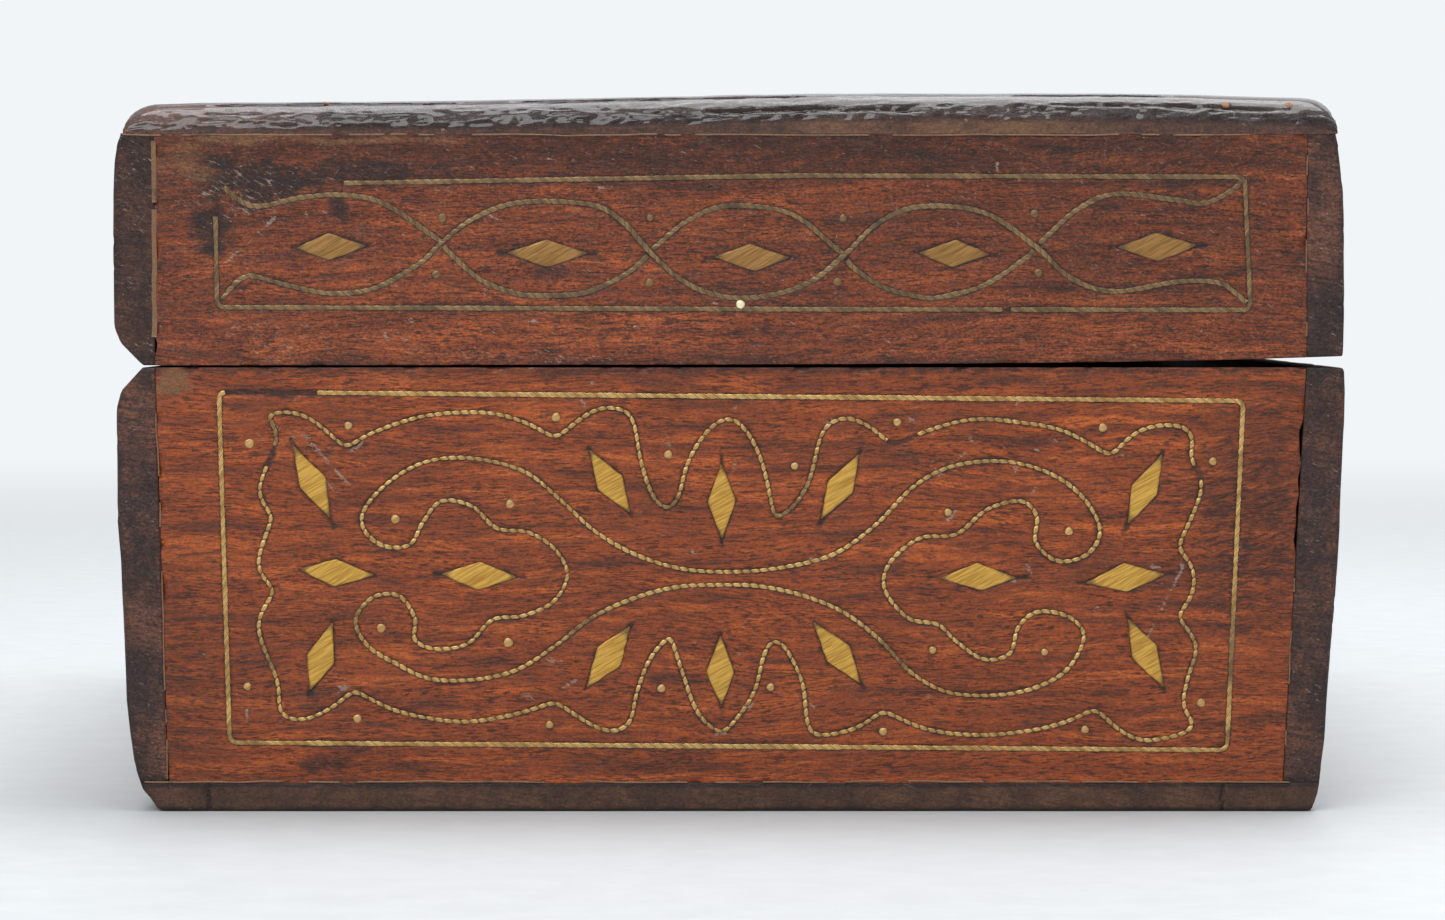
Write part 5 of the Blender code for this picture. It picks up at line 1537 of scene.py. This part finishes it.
def make_floor():
    """A large pale floor that fades into the backdrop's white."""
    lines = np.linspace(-FLOOR_REACH, FLOOR_REACH, 9) / MM
    points, quads = block(lines, lines, FLOOR_HEIGHTS)
    floor = make_piece("studio_floor", points, [quads])
    shader = Shader("studio_floor")
    length = shader.add("ShaderNodeVectorMath", operation="LENGTH")
    shader.put(length.inputs[0], shader.vector("MULTIPLY", shader.place, (1.0, 1.0, 0.0)))
    cloud = shader.noise((9.0, 9.0, 9.0), 6.0, 0.7)
    specks = shader.step(shader.noise((1.3, 1.3, 1.3), 2.0, 0.7), 0.75, 0.80, 0.45)
    colour = shader.mix(shader.step(cloud, 0.3, 0.7), linear(200, 202, 203), linear(206, 208, 209))
    shader.set("Base Color", shader.mix(specks, colour, linear(130, 126, 122)))
    shader.set("Roughness", 0.55)
    glow = shader.add("ShaderNodeEmission")
    glow.inputs["Color"].default_value = BACKDROP
    blend = shader.add("ShaderNodeMixShader")
    shader.put(blend.inputs[0], shader.step(length.outputs["Value"], *FLOOR_FADE))
    shader.put(blend.inputs[1], shader.surface.outputs[0])
    shader.put(blend.inputs[2], glow.outputs[0])
    shader.put(shader.output.inputs["Surface"], blend.outputs[0])
    floor.data.materials.append(shader.material)


def make_area_light(name, location, size, watts):
    """A soft light aimed at the box, which the camera doesn't see."""
    data = bpy.data.lights.new(name, "AREA")
    data.shape = "RECTANGLE"
    data.size, data.size_y = size
    data.energy = watts
    data.color = COOL_WHITE
    light = bpy.data.objects.new(name, data)
    aim(light, location, -Vector(location))
    light.visible_camera = False


def make_world():
    """A white backdrop that lights the box more softly than it looks."""
    world = bpy.data.worlds.new("studio")
    world.use_nodes = True
    tree = world.node_tree
    background = tree.nodes["Background"]
    background.inputs["Color"].default_value = BACKDROP
    path = tree.nodes.new("ShaderNodeLightPath")
    strength = tree.nodes.new("ShaderNodeMix")
    strength.inputs[2].default_value = AMBIENT
    strength.inputs[3].default_value = 1.0
    tree.links.new(path.outputs["Is Camera Ray"], strength.inputs[0])
    tree.links.new(strength.outputs[0], background.inputs["Strength"])
    bpy.context.scene.world = world


def make_studio():
    make_world()
    view = bpy.context.scene.view_settings
    view.view_transform = "Standard"
    view.look = "None"
    for softbox in SOFTBOXES:
        make_area_light(*softbox)
    make_floor()
    make_camera()


# The box.

END_PANELS = [  # body, end, seed of the layout and its wobble, spacing of the panel's grid and seed of its wear
    ("base", "near", 100, 0.0, 0.34, 1000), ("lid", "near", 200, 0.0, 0.32, 1100),
    ("base", "far", 300, 0.35, 0.5, 1200), ("lid", "far", 400, 0.35, 0.5, 1300),
]
WALLS = [  # place, side, seed, and the outlines of the base's and the lid's outer faces
    ("back", -1, 500, BASE_BACK_OUTLINE, LID_BACK_OUTLINE),
    ("front", 1, 600, BASE_FRONT_OUTLINE, LID_FRONT_OUTLINE),
]
NEAR_SPACING = 0.16
TOP_SPACING = 0.34
HAND_WOBBLE = 0.3
SIDE_STRETCH = 1.46  # the near end's pattern, stretched to a side's length
TOP_STRETCH = 1.38
TOP_HALVES = 38.0  # how far the top's two patterns lie from its middle


def make_ends(panel_woods, brasses):
    """The four end panels and their inlay."""
    low, high = (-83, 5), (83, 97)
    wear = {
        "near": (PATCHES, SCRATCHES + random_scratches(70, low, high, 9)),
        "far": ([(kind, -u, *rest) for kind, u, *rest in PATCHES], random_scratches(60, low, high, 19)),
    }
    layouts = []
    for body, end, layout_seed, wobble, spacing, seed in END_PANELS:
        layout = Layout(layout_seed)
        (layout.add_base if body == "base" else layout.add_lid)(wobble=wobble)
        make_end_panel(body, end, layout, panel_woods[body], spacing, *wear[end], seed)
        layouts.append((body, end, layout))
    for body, end, layout in layouts:
        if end == "near":
            make_inlay(layout, near_end, body, f"{body}_near", brasses[body], NEAR_SPACING)
        else:
            make_inlay(layout, far_end, body, f"{body}_far", brasses[body])


def make_walls(material, brasses):
    """The long walls with the room for the hinges, and their inlay."""
    for place, side, seed, base_table, lid_table in WALLS:
        base_layout = Layout(seed).add_base((SIDE_STRETCH, 0.96), (0.0, -1.0), wobble=HAND_WOBBLE)
        lid_layout = Layout(seed + 50).add_lid((SIDE_STRETCH, 1.0), wobble=HAND_WOBBLE)
        walls = {
            "base": make_wall("base", place, side, base_table, BASE_LOW, BASE_RIM, base_layout, material, seed, 96),
            "lid": make_wall("lid", place, side, lid_table, LID_RIM, LID_HIGH, lid_layout, material, seed + 20, 56),
        }
        if side < 0:
            for body, wall in walls.items():
                make_hinge_room(wall, *HINGE_ROOM_Z[body])
        make_inlay(base_layout, wall_face(base_table, side), "base", f"base_{place}", brasses["base"])
        make_inlay(lid_layout, wall_face(lid_table, side), "lid", f"lid_{place}", brasses["lid"])


def make_top(material, brass):
    """The top board, with the pattern twice, mirrored about its middle."""
    layout, centre = Layout(700), PATTERN_CENTRES["base"][1]
    for sign in (1, -1):
        offset = (0.0, sign * TOP_HALVES - centre)
        layout.add_base((SIDE_STRETCH, sign * TOP_STRETCH), offset, wobble=HAND_WOBBLE)
    make_top_board(layout, material)
    make_inlay(layout, top_face, "lid", "lid_top", brass, TOP_SPACING)


def make_box():
    panel_woods = {
        "base": wood("panel_rosewood", 0, (84, 44, 29), (142, 65, 27), (186, 92, 38)),
        "lid": wood("lid_panel_rosewood", 0, (70, 39, 29), (126, 59, 29), (164, 82, 40), dusty=1.1, gritty=3.2),
    }
    board = wood("board_rosewood", 1, (66, 38, 28), (106, 56, 33), (128, 68, 39), dusty=1.2, gritty=3.4)
    top = wood("top_rosewood", 1, (60, 38, 30), (90, 52, 36), (112, 66, 42), dusty=0.6, roughness=0.34, gritty=2.2,
               coat=0.7)
    bottom = wood("bottom_rosewood", 1, (62, 42, 32), (84, 58, 44), (100, 70, 52), dusty=0.6,
                  ends=((62, 42, 34), (112, 76, 56)))
    brasses = {
        "base": (brass_wire("inlay_wire_brass", (212, 174, 110), (172, 134, 80), (60, 44, 34)),
                 brass_plate("lozenge_brass", (224, 178, 88), (180, 132, 58), (92, 68, 40)),
                 brass_plate("dot_brass", (214, 174, 114), (182, 140, 86), (110, 82, 56))),
        "lid": (brass_wire("lid_wire_brass", (150, 122, 86), (112, 90, 66), (56, 44, 38)),
                brass_plate("lid_lozenge_brass", (176, 132, 78), (134, 98, 56), (80, 60, 42)),
                brass_plate("lid_dot_brass", (146, 114, 80), (118, 90, 64), (74, 56, 44))),
    }
    make_ends(panel_woods, brasses)
    make_joint_dust(plain_finish("joint_dust", (142, 105, 74), (114, 80, 56), (64, 46, 36), 0.0))
    make_walls(board, brasses)
    make_top(top, brasses["base"])
    make_bottom_board(bottom)
    hinge = plain_finish("hinge_brass_aged", (176, 138, 76), (128, 98, 56), (70, 52, 38), 0.85)
    give_material([node for node in frame["nodes"] if node.startswith("hinge_")], hinge)
    steel = plain_finish("screw_steel_aged", (140, 138, 134), (104, 100, 96), (62, 50, 44), 0.8)
    give_material([node for node in frame["nodes"] if "screw" in node], steel)
    peg = wood("peg_wood", 2, (116, 76, 44), (152, 104, 62), (178, 128, 80))
    # near-white brass, which paints a glint on the lid's pin
    pin = brass_plate("pin_brass_painted_glint", (255, 244, 214), (246, 224, 176), (200, 160, 110))
    make_small_parts(peg, pin)


make_studio()
make_box()
